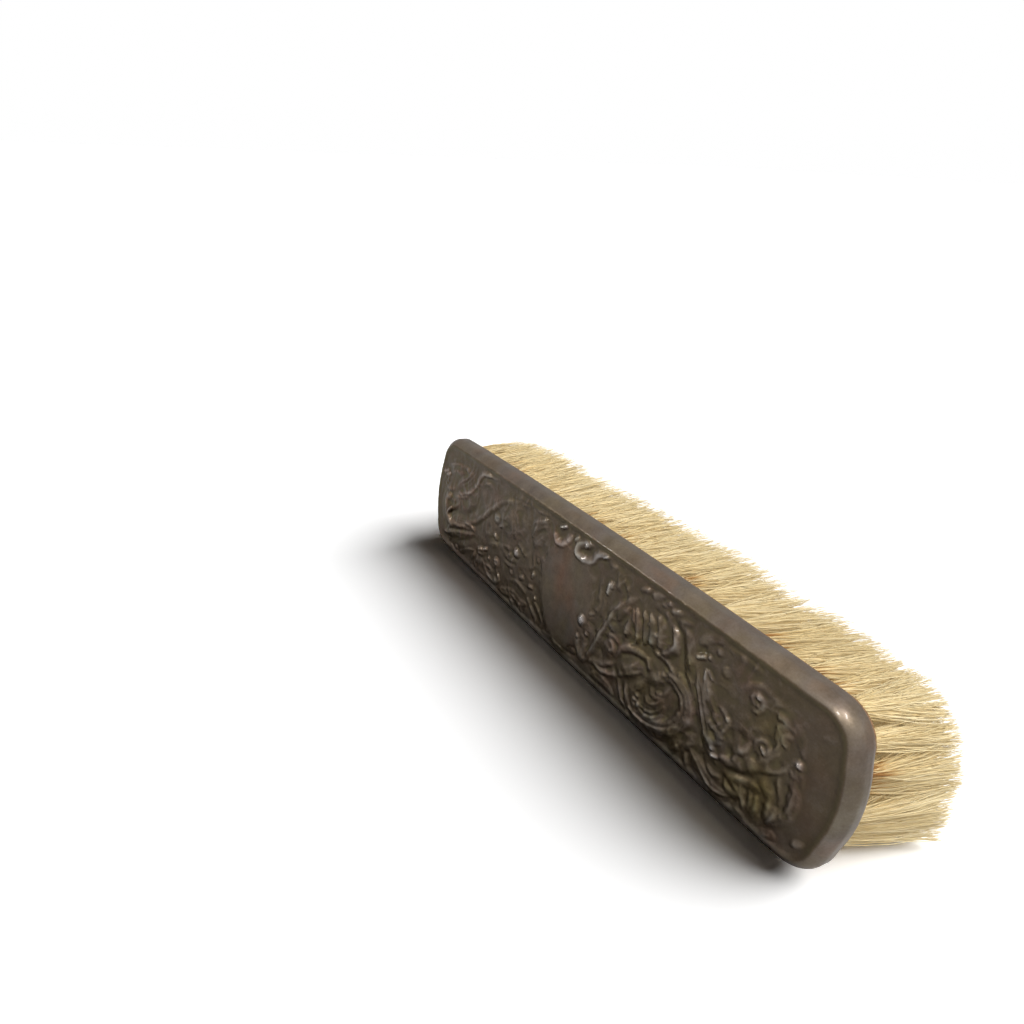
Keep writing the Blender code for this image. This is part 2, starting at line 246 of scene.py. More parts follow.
class Ornament:
    """Heights of stamped work over the silver face: broad bodies, the folds on them, and what is sunk."""

    def __init__(self, x, y):
        self.x = x
        self.y = y
        self.body = np.zeros_like(x)
        self.folds = np.zeros_like(x)
        self.sunk = np.zeros_like(x)
        self.rubbed = np.zeros_like(x)

    def near(self, line, reach):
        """Points within reach of a line: which, how far off, share along it, and on which side."""
        low, high = line.min(axis=0) - reach, line.max(axis=0) + reach
        at = np.nonzero((self.x > low[0]) & (self.x < high[0]) & (self.y > low[1]) & (self.y < high[1]))
        point = np.stack([self.x[at], self.y[at]], axis=-1)[:, None]
        start, step = line[:-1], np.diff(line, axis=0)
        length = np.linalg.norm(step, axis=1)
        along = np.clip(((point - start) * step).sum(axis=-1) / length**2, 0, 1)
        off = point - start - along[..., None] * step
        distance = np.linalg.norm(off, axis=-1)
        best = distance.argmin(axis=1)
        pick = np.arange(len(best))
        run = np.concatenate([[0], np.cumsum(length)])
        share = (run[best] + along[pick, best] * length[best]) / run[-1]
        side = np.sign(step[best, 0] * off[pick, best, 1] - step[best, 1] * off[pick, best, 0])
        return at, distance[pick, best], share, side

    def lay(self, layer, at, height):
        """Lays a shape over what is there, so that crossings run together softly."""
        layer[at] = (layer[at] ** 3 + np.maximum(height, 0) ** 3) ** (1 / 3)

    def rub(self, at, height, shape):
        """Marks where high work is rubbed bright."""
        self.rubbed[at] = np.maximum(self.rubbed[at], np.clip(1.7 * height - 0.5, 0, 1) * shape**2)

    def sink(self, at, depth):
        """Sinks the ground, where it is not deeper already."""
        self.sunk[at] = np.maximum(self.sunk[at], depth)

    def swell(self, x, y, half_x, half_y, height, turn=0):
        """A broad smooth dome."""
        c, s = math.cos(math.radians(turn)), math.sin(math.radians(turn))
        along, across = (self.x - x) * c + (self.y - y) * s, (self.y - y) * c - (self.x - x) * s
        q = np.minimum((along / half_x) ** 2 + (across / half_y) ** 2, 1)
        self.lay(self.body, np.nonzero(q < 1), height * (1 - q[q < 1]) ** 1.3)

    def ridge(self, width, height, *points, root=0.25, tip=0.25, lean=0.35):
        """A soft fold that thins towards root and tip, steep outside its bend and sloping gently inside."""
        line = smooth_line(points)
        step = np.diff(line, axis=0)
        bend = (step[:-1, 0] * step[1:, 1] - step[:-1, 1] * step[1:, 0]).sum()
        at, distance, share, side = self.near(line, 4 * width + 0.6)
        ends = taper(share, root, tip)
        inner = side * (1 if bend >= 0 else -1)
        half = FOLD_SPREAD * width * (0.4 + 0.6 * np.sqrt(ends))
        q = np.minimum(distance / (half * (1 + lean * inner * np.minimum(3 * ends, 1))), 1)
        crown = (1 - q) ** 1.5 * (1 + 1.2 * q) * (0.25 + 0.75 * np.sqrt(ends))
        self.lay(self.folds, at, height * crown)
        self.rub(at, height, crown)

    def plume(self, width, height, strands, *points, root=0.3, tip=0.4, lean=0.0, grooved=0.3):
        """A body grooved along its length, as hair or a feather is; lean makes one side wider."""
        at, distance, share, side = self.near(smooth_line(points), width * 1.5 + 0.6)
        ends = taper(share, root, tip)
        half = 1.3 * width * (0.2 + 0.8 * np.sin(np.pi / 2 * ends) ** 0.8)
        q = np.minimum(distance / (half * (1 + lean * side * np.minimum(3 * ends, 1))), 1)
        groove = 0.5 + 0.5 * np.cos(np.pi * strands * q * side + np.pi * (strands % 2))
        crown = (1 - q**2) ** 1.5 * (0.4 + 0.6 * np.sqrt(ends))
        self.lay(self.body, at, height * crown * (1 - 1.3 * grooved * groove * (1 - q * q)))

    def bud(self, radius, height, start, end, dimple=0.0):
        """A short swelling with round ends, and with a pit in its middle if it is a flower."""
        at, distance, _, _ = self.near(np.array([start, end], float), radius + 0.9)
        q = np.minimum(distance / (1.3 * radius), 1)
        dome = (1 - q**2) ** 1.4
        self.lay(self.folds, at, height * dome - dimple * hump(distance, 0.35 * radius))
        self.sink(at, 0.08 * hump(distance - 1.4 * radius, 0.4))
        self.rub(at, height, dome)

    def bead(self, x, y, radius, height, dimple=0.0):
        """A round boss."""
        self.bud(radius, height, (x, y), (x + 0.05, y), dimple)

    def hollow(self, width, depth, *points):
        """A soft valley."""
        at, distance, _, _ = self.near(smooth_line(points), 2.4 * width)
        self.sink(at, 0.7 * depth * hump(distance, width))

    def pits(self, width, depth, slant, *places):
        """Short valleys of one size and slant."""
        for x, y in places:
            self.hollow(width, depth, (x, y), (x + slant[0], y + slant[1]))

    def volute(self, centre, outer, inner, start, turns, width, height):
        """A scroll that winds in to its centre and ends in a bead."""
        share = np.linspace(0, 1, max(6, int(10 * abs(turns))))
        angle = math.radians(start) + 2 * math.pi * turns * share
        radius = outer + (inner - outer) * share**0.8
        points = np.stack([centre[0] + radius * np.cos(angle), centre[1] + radius * np.sin(angle)], axis=1)
        self.ridge(width, height, *points, root=0.3, tip=0.05)
        self.bead(*points[-1], width * 1.05, height * 1.1)

    def height(self):
        fading = np.clip(0.95 + 0.28 * uneven(self.x, self.y, 5.5, 12), 0.5, 1.25)
        return 1.3 * self.body + self.folds * fading / (1 + 0.5 * self.body) - self.sunk


def draw_far_scrolls(art):
    """Far end: a smooth leaf and beads over one long S, and an open scroll in the lower corner."""
    each(art.swell, (-70.4, 10.4, 6.2, 2.7, 0.42, 14), (-51.4, 12.6, 4, 1.9, 0.2, 12),
        (-61, -12.4, 5.2, 2.2, 0.25, 24))
    art.ridge(0.45, 0.34, (-76.2, 10.4), (-72.6, 11.9), (-68.6, 12.7), (-64, 13.2))
    art.ridge(0.35, 0.26, (-74.8, 12.6), (-71, 13.9), (-67, 14.9))
    art.ridge(0.4, 0.22, (-74.6, 8.8), (-70.6, 9.9), (-66.8, 10.6))
    art.plume(2.2, 0.34, 4, (-69.6, 5.4), (-66, 7.4), (-62.6, 10), (-60, 12.6), (-58.6, 15), grooved=0.4)
    art.ridge(0.35, 0.3, (-67.4, 7.2), (-64.2, 9.4), (-61.8, 12), (-60.6, 14.2))
    art.plume(3.2, 0.42, 2, (-72.6, -1.4), (-67.6, 0.4), (-62.6, 2.4), (-58.6, 5.4), (-56, 9),
        grooved=0.15)
    art.ridge(0.6, 0.4, (-77, 1.7), (-74, 2.4), (-71, 3.6), (-68.6, 4.8))
    art.ridge(0.55, 0.58, (-68.4, 3.2), (-66, 3.6), (-63.5, 4.9), (-61, 6), (-59.2, 7.6), (-57.3, 9.8),
        (-56.1, 12), (-55.2, 13.8), (-53.6, 15), (-50, 15.6), (-46, 16.1), root=0.1)
    art.ridge(0.45, 0.42, (-72, 1.2), (-69, 1.7), (-66.8, 2.2), (-64.2, 3.3), (-61.6, 4.4))
    art.ridge(0.35, 0.32, (-57.2, 10.6), (-55.6, 11.2), (-53.6, 11.6), (-51.8, 12.6), (-49.6, 13.4))
    coil = ((-72.6, 0.2), (-75, -0.6), (-75.7, -2.6), (-75.1, -5), (-73.6, -7.2), (-71.4, -8.5),
        (-68.6, -8.2), (-65, -7.2), (-61, -6))
    art.plume(1.5, 0.4, 1, *coil, root=0.1, grooved=0)
    art.ridge(0.9, 0.5, *coil, (-58, -5.1), (-55.2, -4.4), root=0.1, tip=0.5, lean=0.0)
    art.plume(1.0, 0.7, 1, (-74, -6.4), (-72.9, -4.4), (-71.2, -3), (-69, -1.7), (-66.6, -0.3), grooved=0)
    art.plume(1.5, 0.42, 5, (-70.6, -6.6), (-65.4, -5.2), (-60.6, -4), (-56.4, -2.8))
    art.ridge(0.6, 0.55, (-62, -4.7), (-59.6, -4.3), (-57.2, -4.5), (-55.4, -5.2))
    art.plume(2.0, 0.3, 2, (-61, -3.6), (-56, -1.8), (-51.6, 2), (-47.4, 6.2), (-43, 9.8), (-37.4, 12.8),
        lean=0.3)
    art.ridge(0.5, 0.42, (-60.6, -3.5), (-57, -2.2), (-54.5, -0.7), (-52.8, 1.1), (-50.2, 3.4),
        (-47.4, 6.2), (-44.5, 8.7), (-42, 10.8), (-39.6, 12.1), (-36.8, 13.2), (-32, 14.6), root=0.15)
    art.ridge(0.4, 0.34, (-73.6, -13), (-73, -11.3), (-71.4, -9.9), (-69.2, -9.1))
    art.plume(1.7, 0.34, 2, (-75, -13.6), (-70, -12), (-65, -10.4), (-60, -8.6), (-55.6, -6.2),
        grooved=0.2)
    art.ridge(0.5, 0.34, (-74.6, -13.4), (-69.5, -11.3), (-65, -9.6), (-60, -7.9), (-56, -6.4))
    art.ridge(0.4, 0.3, (-63.4, -16), (-60.6, -14.2), (-57.6, -12.4), (-54, -11.2))
    for x in (-54.4, -52, -49.6):
        art.ridge(0.5, 0.3, (x - 1.2, -16.6), (x - 0.3, -13.8), (x + 0.9, -11.6))
    art.pits(0.8, 0.26, (0.8, 0.4), (-70.9, 5.8), (-68.6, 8.7), (-66, 4.8), (-60.3, -0.8), (-57.4, 1),
        (-67.7, -12.7), (-72.9, -2.2), (-66.2, -11.6), (-64.2, 10.8), (-78.8, 2.6))
    each(art.bead, (-78.6, 5.2, 0.6, 0.3), (-76.6, 4.7, 0.6, 0.3), (-77.6, 3.4, 0.6, 0.3),
        (-71, -14.4, 0.8, 0.25), (-69, -16.6, 0.8, 0.25), (-66, -15.6, 0.8, 0.25),
        (-64.2, 12.6, 0.9, 0.4), (-70.4, -0.9, 0.8, 0.4))
    each(art.bud, (0.75, 0.75, (-79.3, 7), (-77.4, 8)), (0.7, 0.62, (-77.4, 6.5), (-76.3, 6.9)),
        (0.6, 0.7, (-73.6, -5.6), (-71.4, -3.2)))
    art.hollow(0.8, 0.2, (-79, 0), (-79.6, -4), (-78.4, -8), (-75.6, -11))


def draw_berry_sprays(art):
    """Between the far scrolls and the cartouche: a smooth dome among sprays of buds and berries."""
    each(art.swell, (-34.4, 7.6, 8.6, 6.4, 0.5, 12), (-47.6, -0.6, 4.6, 3.4, 0.24, 30),
        (-50, -9.6, 3.0, 1.8, 0.34, 20))
    art.ridge(0.4, 0.24, (-42, 2.4), (-39.4, 3.6), (-36.4, 5.4))
    art.ridge(0.6, 0.28, (-45.4, -5), (-42, -3.4), (-38.6, -2.4), (-36, -1.6), (-33.2, -1))
    art.ridge(0.5, 0.26, (-38.6, -2.6), (-35.6, -4.4), (-32.4, -4.6), (-29.4, -3.6))
    art.ridge(0.5, 0.34, (-30.4, 1.9), (-28.4, 1.5), (-26.8, 0.5), (-24.8, 0.2))
    art.ridge(0.45, 0.3, (-35, 15), (-32, 15.5), (-28.6, 16), (-25, 16.1), (-21.6, 15.7), (-17.4, 16.4))
    art.ridge(0.35, 0.24, (-31, 14.4), (-28.6, 14.9), (-26.6, 15.3))
    art.plume(1.7, 0.34, 3, (-24, 7), (-22.4, 10.6), (-19.8, 13), (-16.4, 15), lean=0.2)
    art.ridge(0.4, 0.4, (-24, 11.6), (-22, 13), (-20, 14), (-17.6, 15.2))
    art.ridge(0.4, 0.34, (-23.4, 8.4), (-21.6, 10.8), (-19.6, 12), (-17, 13.2))
    art.plume(1.4, 0.26, 3, (-22.4, 4.6), (-20.6, 7.2), (-18.6, 9.4), (-16.8, 11))
    art.ridge(0.4, 0.3, (-22, 2.4), (-21, 0.4), (-21.2, -1.4), (-22.4, -2.4))
    art.ridge(0.35, 0.4, (-52, -9.4), (-50.4, -8.9), (-48.8, -8.6))
    art.ridge(0.35, 0.4, (-51.6, -10.6), (-50, -10.8), (-48.4, -10.2))
    art.ridge(0.6, 0.44, (-40.4, -10.6), (-39.5, -11.8), (-38.2, -12.6), (-37.9, -14), (-39, -15.1),
        (-41.4, -15.6), (-44.2, -15.1), (-46.4, -14), (-48, -12.4))
    art.ridge(0.45, 0.3, (-46.4, -12.7), (-44.2, -12.1), (-42.6, -12.8), (-43.4, -13.9), (-45, -13.8))
    art.plume(1.4, 0.26, 2, (-37.4, -16.4), (-33.4, -15.4), (-29.4, -14), (-25, -14.6), (-21, -13.4))
    art.ridge(0.45, 0.26, (-31.6, -10.6), (-28.4, -9.4), (-25.6, -9.6), (-22.6, -10.6))
    art.ridge(0.45, 0.26, (-36.4, -6.6), (-33.6, -6.6), (-31.2, -6), (-29, -4.6))
    for x, y in ((-20.8, -12.4), (-18.8, -13.8), (-16.6, -15.4), (-24.4, -16.2), (-29.4, -16.6)):
        art.ridge(0.45, 0.3, (x - 1, y + 1), (x, y), (x + 1.2, y - 0.8))
    art.pits(0.8, 0.22, (0.7, 0.2), (-47.4, -0.2), (-44.4, -2.4), (-33.6, 2.4), (-27.6, -5.4),
        (-41.4, -11.8), (-31, -5.4), (-28.7, -7), (-23.4, -9), (-22.8, -3.6), (-19, -6.6), (-44.4, -14.4),
        (-47, -10), (-17.6, -15.8), (-39.9, -9))
    each(art.bead, (-33.6, -3.3, 0.85, 0.36), (-19.4, 1.6, 0.8, 0.3), (-31.8, -8.1, 0.8, 0.3),
        (-17.9, -9.6, 0.65, 0.42), (-44.9, -9.7, 0.7, 0.4), (-40.4, -8.9, 1.5, 0.62, 0.25),
        (-38.3, -12.6, 0.7, 0.5))
    each(art.bud, (1.5, 0.6, (-43.3, 4.5), (-42.9, 4.8), 0.25), (0.8, 0.4, (-43.2, -0.9), (-42, -1.5)),
        (1.35, 0.75, (-30.4, -1.1), (-30.2, -0.9)), (0.7, 0.62, (-20.8, -4), (-20.3, -2.9)),
        (0.75, 0.36, (-26.6, -7.3), (-25.4, -6.7)), (0.7, 0.36, (-21.4, -7.6), (-20.2, -7.2)),
        (0.6, 0.8, (-48.2, -8.1), (-47.1, -7.5)))
    art.hollow(1.0, 0.3, (-25.6, 14), (-24.8, 10), (-24.2, 6), (-23.2, 2.4), (-21.6, -0.8))


def cartouche_reach(x, y):
    """How far out each point lies in the cartouche: 0 at its centre and 1 on its border."""
    half_length = CARTOUCHE_LENGTH / 2 * (0.56 + 0.44 * np.sin(math.pi / 2 * rise(y, -16, 2)) ** 0.8)
    across = np.abs(x - CARTOUCHE_CENTRE) / half_length
    up = np.abs(y + 2.4) / (CARTOUCHE_WIDTH / 2)
    return (across**2.7 + up**2.7) ** (1 / 2.7)


def draw_cartouche(art):
    """The blank field in the middle, two open scrolls over it and a bell of leaves beside its foot."""
    reach = cartouche_reach(art.x, art.y)
    clear = rise(reach, 0.98, 1.08)
    art.body = np.maximum(art.body * clear, FIELD_HEIGHT * ease(rise(reach, 1.16, 0.86)))
    art.folds *= clear
    art.sunk *= clear
    art.rubbed *= clear
    art.pits(0.9, 0.03, (0, 1.4), (-9.9, -5.1), (-9.2, -9.9), (1.4, 2.4), (-8.5, 1.3))
    art.ridge(0.65, 0.7, (-14.4, 15), (-14.1, 13), (-12.6, 11.1), (-10, 11.2), (-8, 12.6), (-6.8, 14),
        (-5.8, 15.3), root=0.3, tip=0.1)
    art.ridge(0.65, 0.7, (2.9, 16.9), (0.6, 16.6), (-1.6, 15.8), (-3.1, 14.6), (-3.5, 13), (-2.8, 11.8),
        (-0.6, 11.4), (1.8, 11.7), (4, 12.8), (5, 14.4), (6.4, 15.6), (8, 16.2), (10, 17.1), root=0.1,
        tip=0.2)
    art.ridge(0.7, 0.3, (10.4, 15.3), (12.6, 15.4), (15.2, 14.9))
    art.ridge(0.5, 0.2, (-16.4, 9.6), (-16.8, 7), (-17.4, 4.6), (-17.8, 2))
    art.ridge(0.5, 0.3, (9, 11), (9.2, 6), (9.2, 2), (8.8, -0.8))
    art.ridge(0.45, 0.24, (10.9, 6.8), (11.1, 4), (10.9, 0.8))
    art.ridge(0.9, 0.45, (3.6, -9.8), (4.2, -11.8), (5.2, -13.4), (6.8, -14.9), root=0.1)
    art.ridge(0.9, 0.45, (6.1, -7.4), (6.8, -9.8), (7.1, -12), (7.2, -14.4), root=0.1)
    art.ridge(0.45, 0.3, (-18.6, -10.4), (-16, -11.6), (-14.4, -12.9), (-12.6, -14.6))
    art.ridge(0.5, 0.2, (-12, -16.9), (-7, -16.4), (-2, -16.6), (2, -16.9))
    each(art.bead, (-7.4, 13.8, 0.85, 0.8), (7.4, -5.4, 1.9, 0.24), (6.8, -6.8, 0.8, 0.6),
        (3.6, -9.2, 0.75, 0.65))
    each(art.bud, (0.6, 0.9, (-11.3, 15.9), (-9.1, 17)), (0.65, 0.7, (-4.6, 15.2), (-3.5, 16.2)),
        (0.65, 0.85, (0.2, 15.2), (0.9, 16)), (0.6, 0.9, (7.7, 15.8), (9, 16.6)),
        (0.85, 0.8, (11.4, 8), (11.8, 10.4)), (0.45, 0.6, (12.8, 10), (12.9, 11)),
        (1.35, 1.0, (3.9, -4.4), (4.3, -3.9)), (0.5, 0.4, (6.8, -0.9), (8.1, -0.1)),
        (0.8, 0.4, (2, -14.6), (3, -14.5)))
    each(art.hollow, (1.3, 0.3, (-12.2, 14.4), (-10.4, 13.6), (-9, 14.4)),
        (1.4, 0.34, (-1.4, 13.4), (0.6, 13.4), (2.6, 14.4)), (0.6, 0.2, (7.3, 10), (7.3, 5), (7.2, 0.6)),
        (0.7, 0.42, (10, -4.6), (8.9, -8.6), (7.7, -12.6)))


def draw_shell(art):
    """Beside the cartouche: a shell of petals on a stem, with scallops along the edge above it."""
    each(art.swell, (15, 12.6, 3.2, 1.8, 0.3, 60), (16, 0.6, 2.0, 1.5, 0.5, 20),
        (24.8, -6.3, 5.4, 2.5, 0.42, 40), (16.8, -5.4, 3.2, 2.8, 0.3, 0))
    art.plume(1.7, 0.4, 4, (7, -14.6), (9, -9.8), (11.4, -5), (13, -0.8), (15, 3.8), (18, 8), (22, 11.4),
        grooved=0.4)
    art.ridge(0.45, 0.45, (7.4, -15), (9, -10.6), (10.8, -6.5), (12, -3), (13.4, 0.5), (14.6, 3.8),
        (17, 7.6), (20, 10.8), (22.4, 12.2), root=0.1)
    art.ridge(0.4, 0.3, (14, 14.2), (15, 12.4), (16, 10.4))
    petals = (
        ((20.6, 8.4), (18.6, 6.6), (17.4, 4.8), (17.2, 3.2)),
        ((21.6, 8.6), (21.9, 6), (21.2, 3.4), (20.2, 1.4)),
        ((22.6, 9.4), (24, 7), (24.9, 4), (24.9, 1.4)),
        ((25, 10.2), (26.2, 8), (27.2, 5.2), (27.6, 2.6)),
        ((27.2, 10.6), (28.6, 8.4), (29.6, 5.8), (30.4, 3.2)),
        ((29.6, 11.6), (31.4, 9.8), (32.4, 7), (32.4, 4)),
    )
    for i, petal in enumerate(petals):
        art.plume(1.25 + 0.06 * i, 0.62 + 0.05 * i, 1, *petal, root=0.5, tip=0.2, grooved=0)
    each(art.bead, (20.9, 1.5, 0.9, 0.5), (29.4, 4.8, 1.1, 0.55), (27.6, 8.2, 0.7, 0.5),
        (30.8, 7, 0.7, 0.5), (24.9, 3, 0.8, 0.3), (40.1, 2, 0.7, 0.4))
    art.plume(1.4, 0.75, 1, (35, 11.6), (37, 9), (36.6, 6.6), (35.2, 4.8), (33.2, 3.6), grooved=0)
    art.ridge(0.5, 0.5, (36.2, 10), (36.9, 8.4), (36.4, 6.6), (35, 5), (33.6, 4.2), root=0.15)
    art.plume(2.3, 0.42, 1, (38.6, 13), (41, 9.6), (42.6, 6), (44, 2.4), (45.6, -0.6), grooved=0.05)
    art.ridge(0.45, 0.35, (39, 12), (40.7, 9), (42, 6.4), (43, 3.4), (44.6, 0.6))
    scallops = (
        ((22.4, 14.3), (24, 15.5), (26, 16)),
        ((26.2, 14.9), (28, 16.1), (30.2, 16.6)),
        ((30, 14.6), (31.2, 15.7), (33, 16.3)),
        ((32.8, 14.3), (34.2, 15.2), (36.6, 15.9)),
        ((36.4, 13.8), (38, 14.5), (40, 14.9)),
    )
    for start, middle, end in scallops:
        art.ridge(0.5, 0.42, start, middle, end, root=0.1)
        art.hollow(0.5, 0.16, (start[0] + 0.6, start[1] - 0.6), (end[0], end[1] - 0.9))
    art.ridge(0.4, 0.3, (31, 12.9), (32.6, 13.4), (34.2, 13.2))
    art.ridge(0.5, 0.45, (30.6, 2.6), (33.2, 3), (36, 2.6), (38.6, 1.4))
    art.plume(1.3, 0.32, 2, (18.6, -6.4), (20, -3.6), (22.4, -1.6), (25.4, -0.5), (28.6, -0.3),
        (30.4, -1.6), lean=-0.2)
    art.ridge(0.45, 0.3, (19.2, -4.8), (20.8, -2.7), (23, -1.2), (26, -0.4), (29.2, -0.4))
    art.ridge(0.4, 0.3, (20.9, -10.8), (22.6, -9.2), (24.4, -7.9), (26.6, -6.4), (28.4, -4.6))
    art.ridge(0.4, 0.3, (22, -8), (24.6, -5.4), (27.6, -3.9))
    art.volute((16.6, -5), 2.6, 0.8, 200, -0.8, 0.5, 0.42)
    art.ridge(0.5, 0.35, (12.4, -3.4), (14.4, -2.2), (17, -1.7), (19.4, -2.2))
    art.ridge(0.5, 0.4, (10.6, -11.6), (12.4, -11.9), (14.6, -11.4), (16.9, -10), (18.4, -8.6))
    art.ridge(0.55, 0.42, (8.4, -14), (10.6, -12.9), (13, -13), (15.4, -13), (18, -12), (20.4, -10.8),
        (22.4, -9.4))
    art.ridge(0.45, 0.36, (21.2, -10.8), (22.2, -13.2), (24, -15.4), (26.2, -17))
    art.ridge(0.45, 0.36, (24.4, -10.6), (25.4, -12.8), (26.3, -15))
    art.plume(1.3, 0.3, 2, (11, -16.4), (14.6, -15.2), (18, -15.4), (20.8, -16.4))
    art.pits(0.8, 0.32, (0.6, -0.8), (13.2, -7.8), (17.4, -6.2), (19.2, -9.2), (23.2, -12.4),
        (20.6, -12.6), (27.6, -4.9), (19, 0), (12.6, 2.6), (17.8, 10.4), (31, 12.4))
    each(art.bud, (0.7, 0.34, (16.9, 13.6), (18.1, 12.4)), (0.8, 0.5, (30, -0.6), (30.5, -1.8)))
    each(art.hollow, (0.62, 0.6, (21.3, 7.6), (21.8, 5.4), (22.8, 3.4)),
        (0.62, 0.6, (24.6, 7.9), (25.7, 5.6), (26.2, 2.4)),
        (0.62, 0.6, (23.6, 3.4), (23.9, 2), (23.2, 0.4)),
        (0.7, 0.5, (28.8, 12.2), (31.2, 10.6), (32.6, 8.4), (33.2, 5.6), (32.4, 3.4)),
        (0.8, 0.55, (35, 12.8), (37.4, 10.6), (38.9, 7.8), (40, 5), (41.4, 2.2)),
        (1.5, 0.4, (31.6, 1.4), (34, 1.8), (36.4, 0.8)),
        (0.65, 0.5, (21.3, -4), (23.8, -2.5), (26.3, -1.9), (28.6, -2.2), (29.8, -3.6)))


def draw_great_scroll(art):
    """The great scroll: streaked rings round a small volute, and feathered leaves beside it."""
    art.swell(52, -6.8, 2.4, 1.5, 0.6, -50)
    art.plume(2.3, 0.6, 3, (35, 0.4), (39.6, 0.2), (43, -1.6), (44.4, -5), (43.4, -9), (40.4, -12.6),
        (35.6, -15.2), (29.6, -16), (25.4, -14.6), root=0.12, grooved=0.35)
    art.ridge(0.5, 0.4, (40.4, 0.9), (43, 0), (45.2, -2.2), (46, -5), (45.2, -8.2), (43, -11.6),
        (40, -14), (36.4, -15.7), (31.6, -16.4), (27.4, -16), root=0.15, tip=0.3)
    art.ridge(0.45, 0.36, (39.6, -1.6), (42, -2.4), (43, -4.4), (42.4, -7.6), (40.4, -10.8), (37, -13.4),
        (33, -14.7), (30, -14.4), root=0.1)
    art.plume(2.0, 0.55, 4, (29.2, -12.6), (31.6, -13.4), (34.4, -12.8), (36.8, -10.8), (38, -8.2),
        grooved=0.45)
    art.plume(1.3, 0.4, 3, (31.2, -9.8), (33.6, -10.2), (35.6, -8.8), (36.8, -6.6), grooved=0.4)
    art.volute((28.5, -12.9), 1.9, 0.5, 60, -0.9, 0.5, 0.5)
    art.plume(1.2, 0.4, 2, (26, -15.4), (25.6, -13.2), (26.5, -11), (28.2, -9), (29.6, -7.2),
        (30.2, -5.6), root=0.1)
    art.plume(1.5, 0.4, 2, (30.4, -5.6), (32.6, -4), (35, -2), (38, -0.4))
    art.ridge(0.4, 0.36, (30, -4.9), (32.2, -4.3), (34, -3), (36, -0.8), (38.4, 0.8))
    art.ridge(0.4, 0.32, (31.9, -4.8), (32.5, -6.6), (33.6, -8.3), (35.6, -7), (37.4, -4.8), (38.8, -2.2))
    art.plume(1.2, 0.34, 2, (42.6, 12.2), (44.6, 13.8), (46.6, 15.4), (49.4, 16.2))
    art.ridge(0.5, 0.3, (51, 15.6), (54, 15.8), (57, 15.6), (60, 15.3))
    art.volute((42, 7), 1.5, 0.5, 200, -0.8, 0.45, 0.34)
    art.ridge(0.4, 0.26, (50.8, 9.2), (51, 10.8), (52.2, 11.4), (52.6, 13))
    art.plume(2.0, 0.55, 4, (44.6, 6.6), (46.4, 2.6), (48.4, -1), (50.4, -4.4), (52.2, -7.6), (55, -10.4),
        root=0.15, grooved=0.5)
    art.plume(1.6, 0.5, 4, (46.6, 7.4), (48, 4.2), (50, 1.4), (52, -0.8), (53.6, -3.8), (53.8, -7),
        grooved=0.5)
    for stem in (((46.6, 6.4), (47.4, 3.4), (48.7, 0.6), (50, -1.4)),
                 ((47.6, 5.4), (48.8, 2.9), (50.4, 1), (51.8, -0.2)),
                 ((45, 5.4), (46, 2.4), (47.8, -0.8), (49.6, -4))):
        art.ridge(0.42, 0.42, *stem, root=0.1, tip=0.4)
    art.ridge(0.45, 0.4, (51, 1.8), (53, 2.2), (54.6, 1.4), (55.6, 0), (55.1, -2), (55, -4), (54.8, -6.4),
        tip=0.1)
    art.plume(0.9, 0.5, 1, (50.9, -0.3), (52.2, -1.3), (53.9, -1.5), grooved=0)
    art.plume(1.0, 0.5, 1, (50.6, -2), (51.8, -3), (53.4, -3.7), grooved=0)
    art.plume(2.0, 0.42, 2, (42.4, -16.4), (44, -13.4), (46.4, -11), (48.4, -8.4), root=0.5, grooved=0.2)
    art.ridge(0.45, 0.36, (46.3, -16), (46.2, -14), (46.8, -12), (47.2, -10.4))
    art.ridge(0.4, 0.34, (48, -17.2), (47, -15.2), (46.4, -13.4))
    art.ridge(0.4, 0.3, (43.4, -17.2), (44.4, -14.6), (45, -12.4))
    art.plume(1.7, 0.42, 3, (48, -12.4), (50.4, -13.8), (53, -15.6), (56, -16.7), (59, -16), (61, -14.4),
        grooved=0.4)
    art.ridge(0.4, 0.3, (53.2, -12.4), (55, -13.6), (57.2, -12.8))
    art.pits(0.7, 0.34, (0.2, -0.9), (57.4, -5.2), (56.4, -1), (51.6, -11.3), (57.6, -11.9), (50.6, -0.2),
        (42.6, 4.6), (48, 3.6), (44.6, 12))
    each(art.bead, (28.8, -11, 0.8, 0.45), (27.3, -15.9, 0.65, 0.4), (48.6, 13.4, 0.9, 0.4),
        (46.5, 10.8, 0.6, 0.6), (51.6, 10.2, 1.2, 0.25), (55.1, 0.9, 0.7, 0.6), (55, -4, 0.6, 0.5),
        (53.4, -7.9, 0.6, 0.5), (46.2, -14.1, 0.65, 0.35))
    each(art.bud, (0.5, 0.4, (34.8, -6.5), (36, -5.8)), (0.7, 0.75, (43.7, 9.2), (45, 10.1)),
        (0.5, 0.6, (46.6, 7.3), (47, 5.8)), (0.45, 0.6, (47.3, 7.7), (48.6, 6.6)),
        (0.45, 0.6, (53.8, -9.3), (55.2, -9)))
    each(art.hollow, (0.45, 0.42, (52.6, -2.2), (53.4, -2.8), (54.4, -2.8)),
        (0.45, 0.42, (52, -4.5), (53.2, -5.2), (54.3, -5.2)),
        (0.45, 0.42, (49.2, -5.4), (49.6, -7.4), (50.4, -9)),
        (1.1, 0.45, (40.6, -3.6), (40.4, -6.4), (38.6, -9.6), (35.8, -11.4)),
        (0.7, 0.28, (30.6, -10), (31.2, -7.6), (31.4, -6)),
        (0.6, 0.34, (44.5, -9.8), (44.6, -11.6), (44.2, -13.6)))


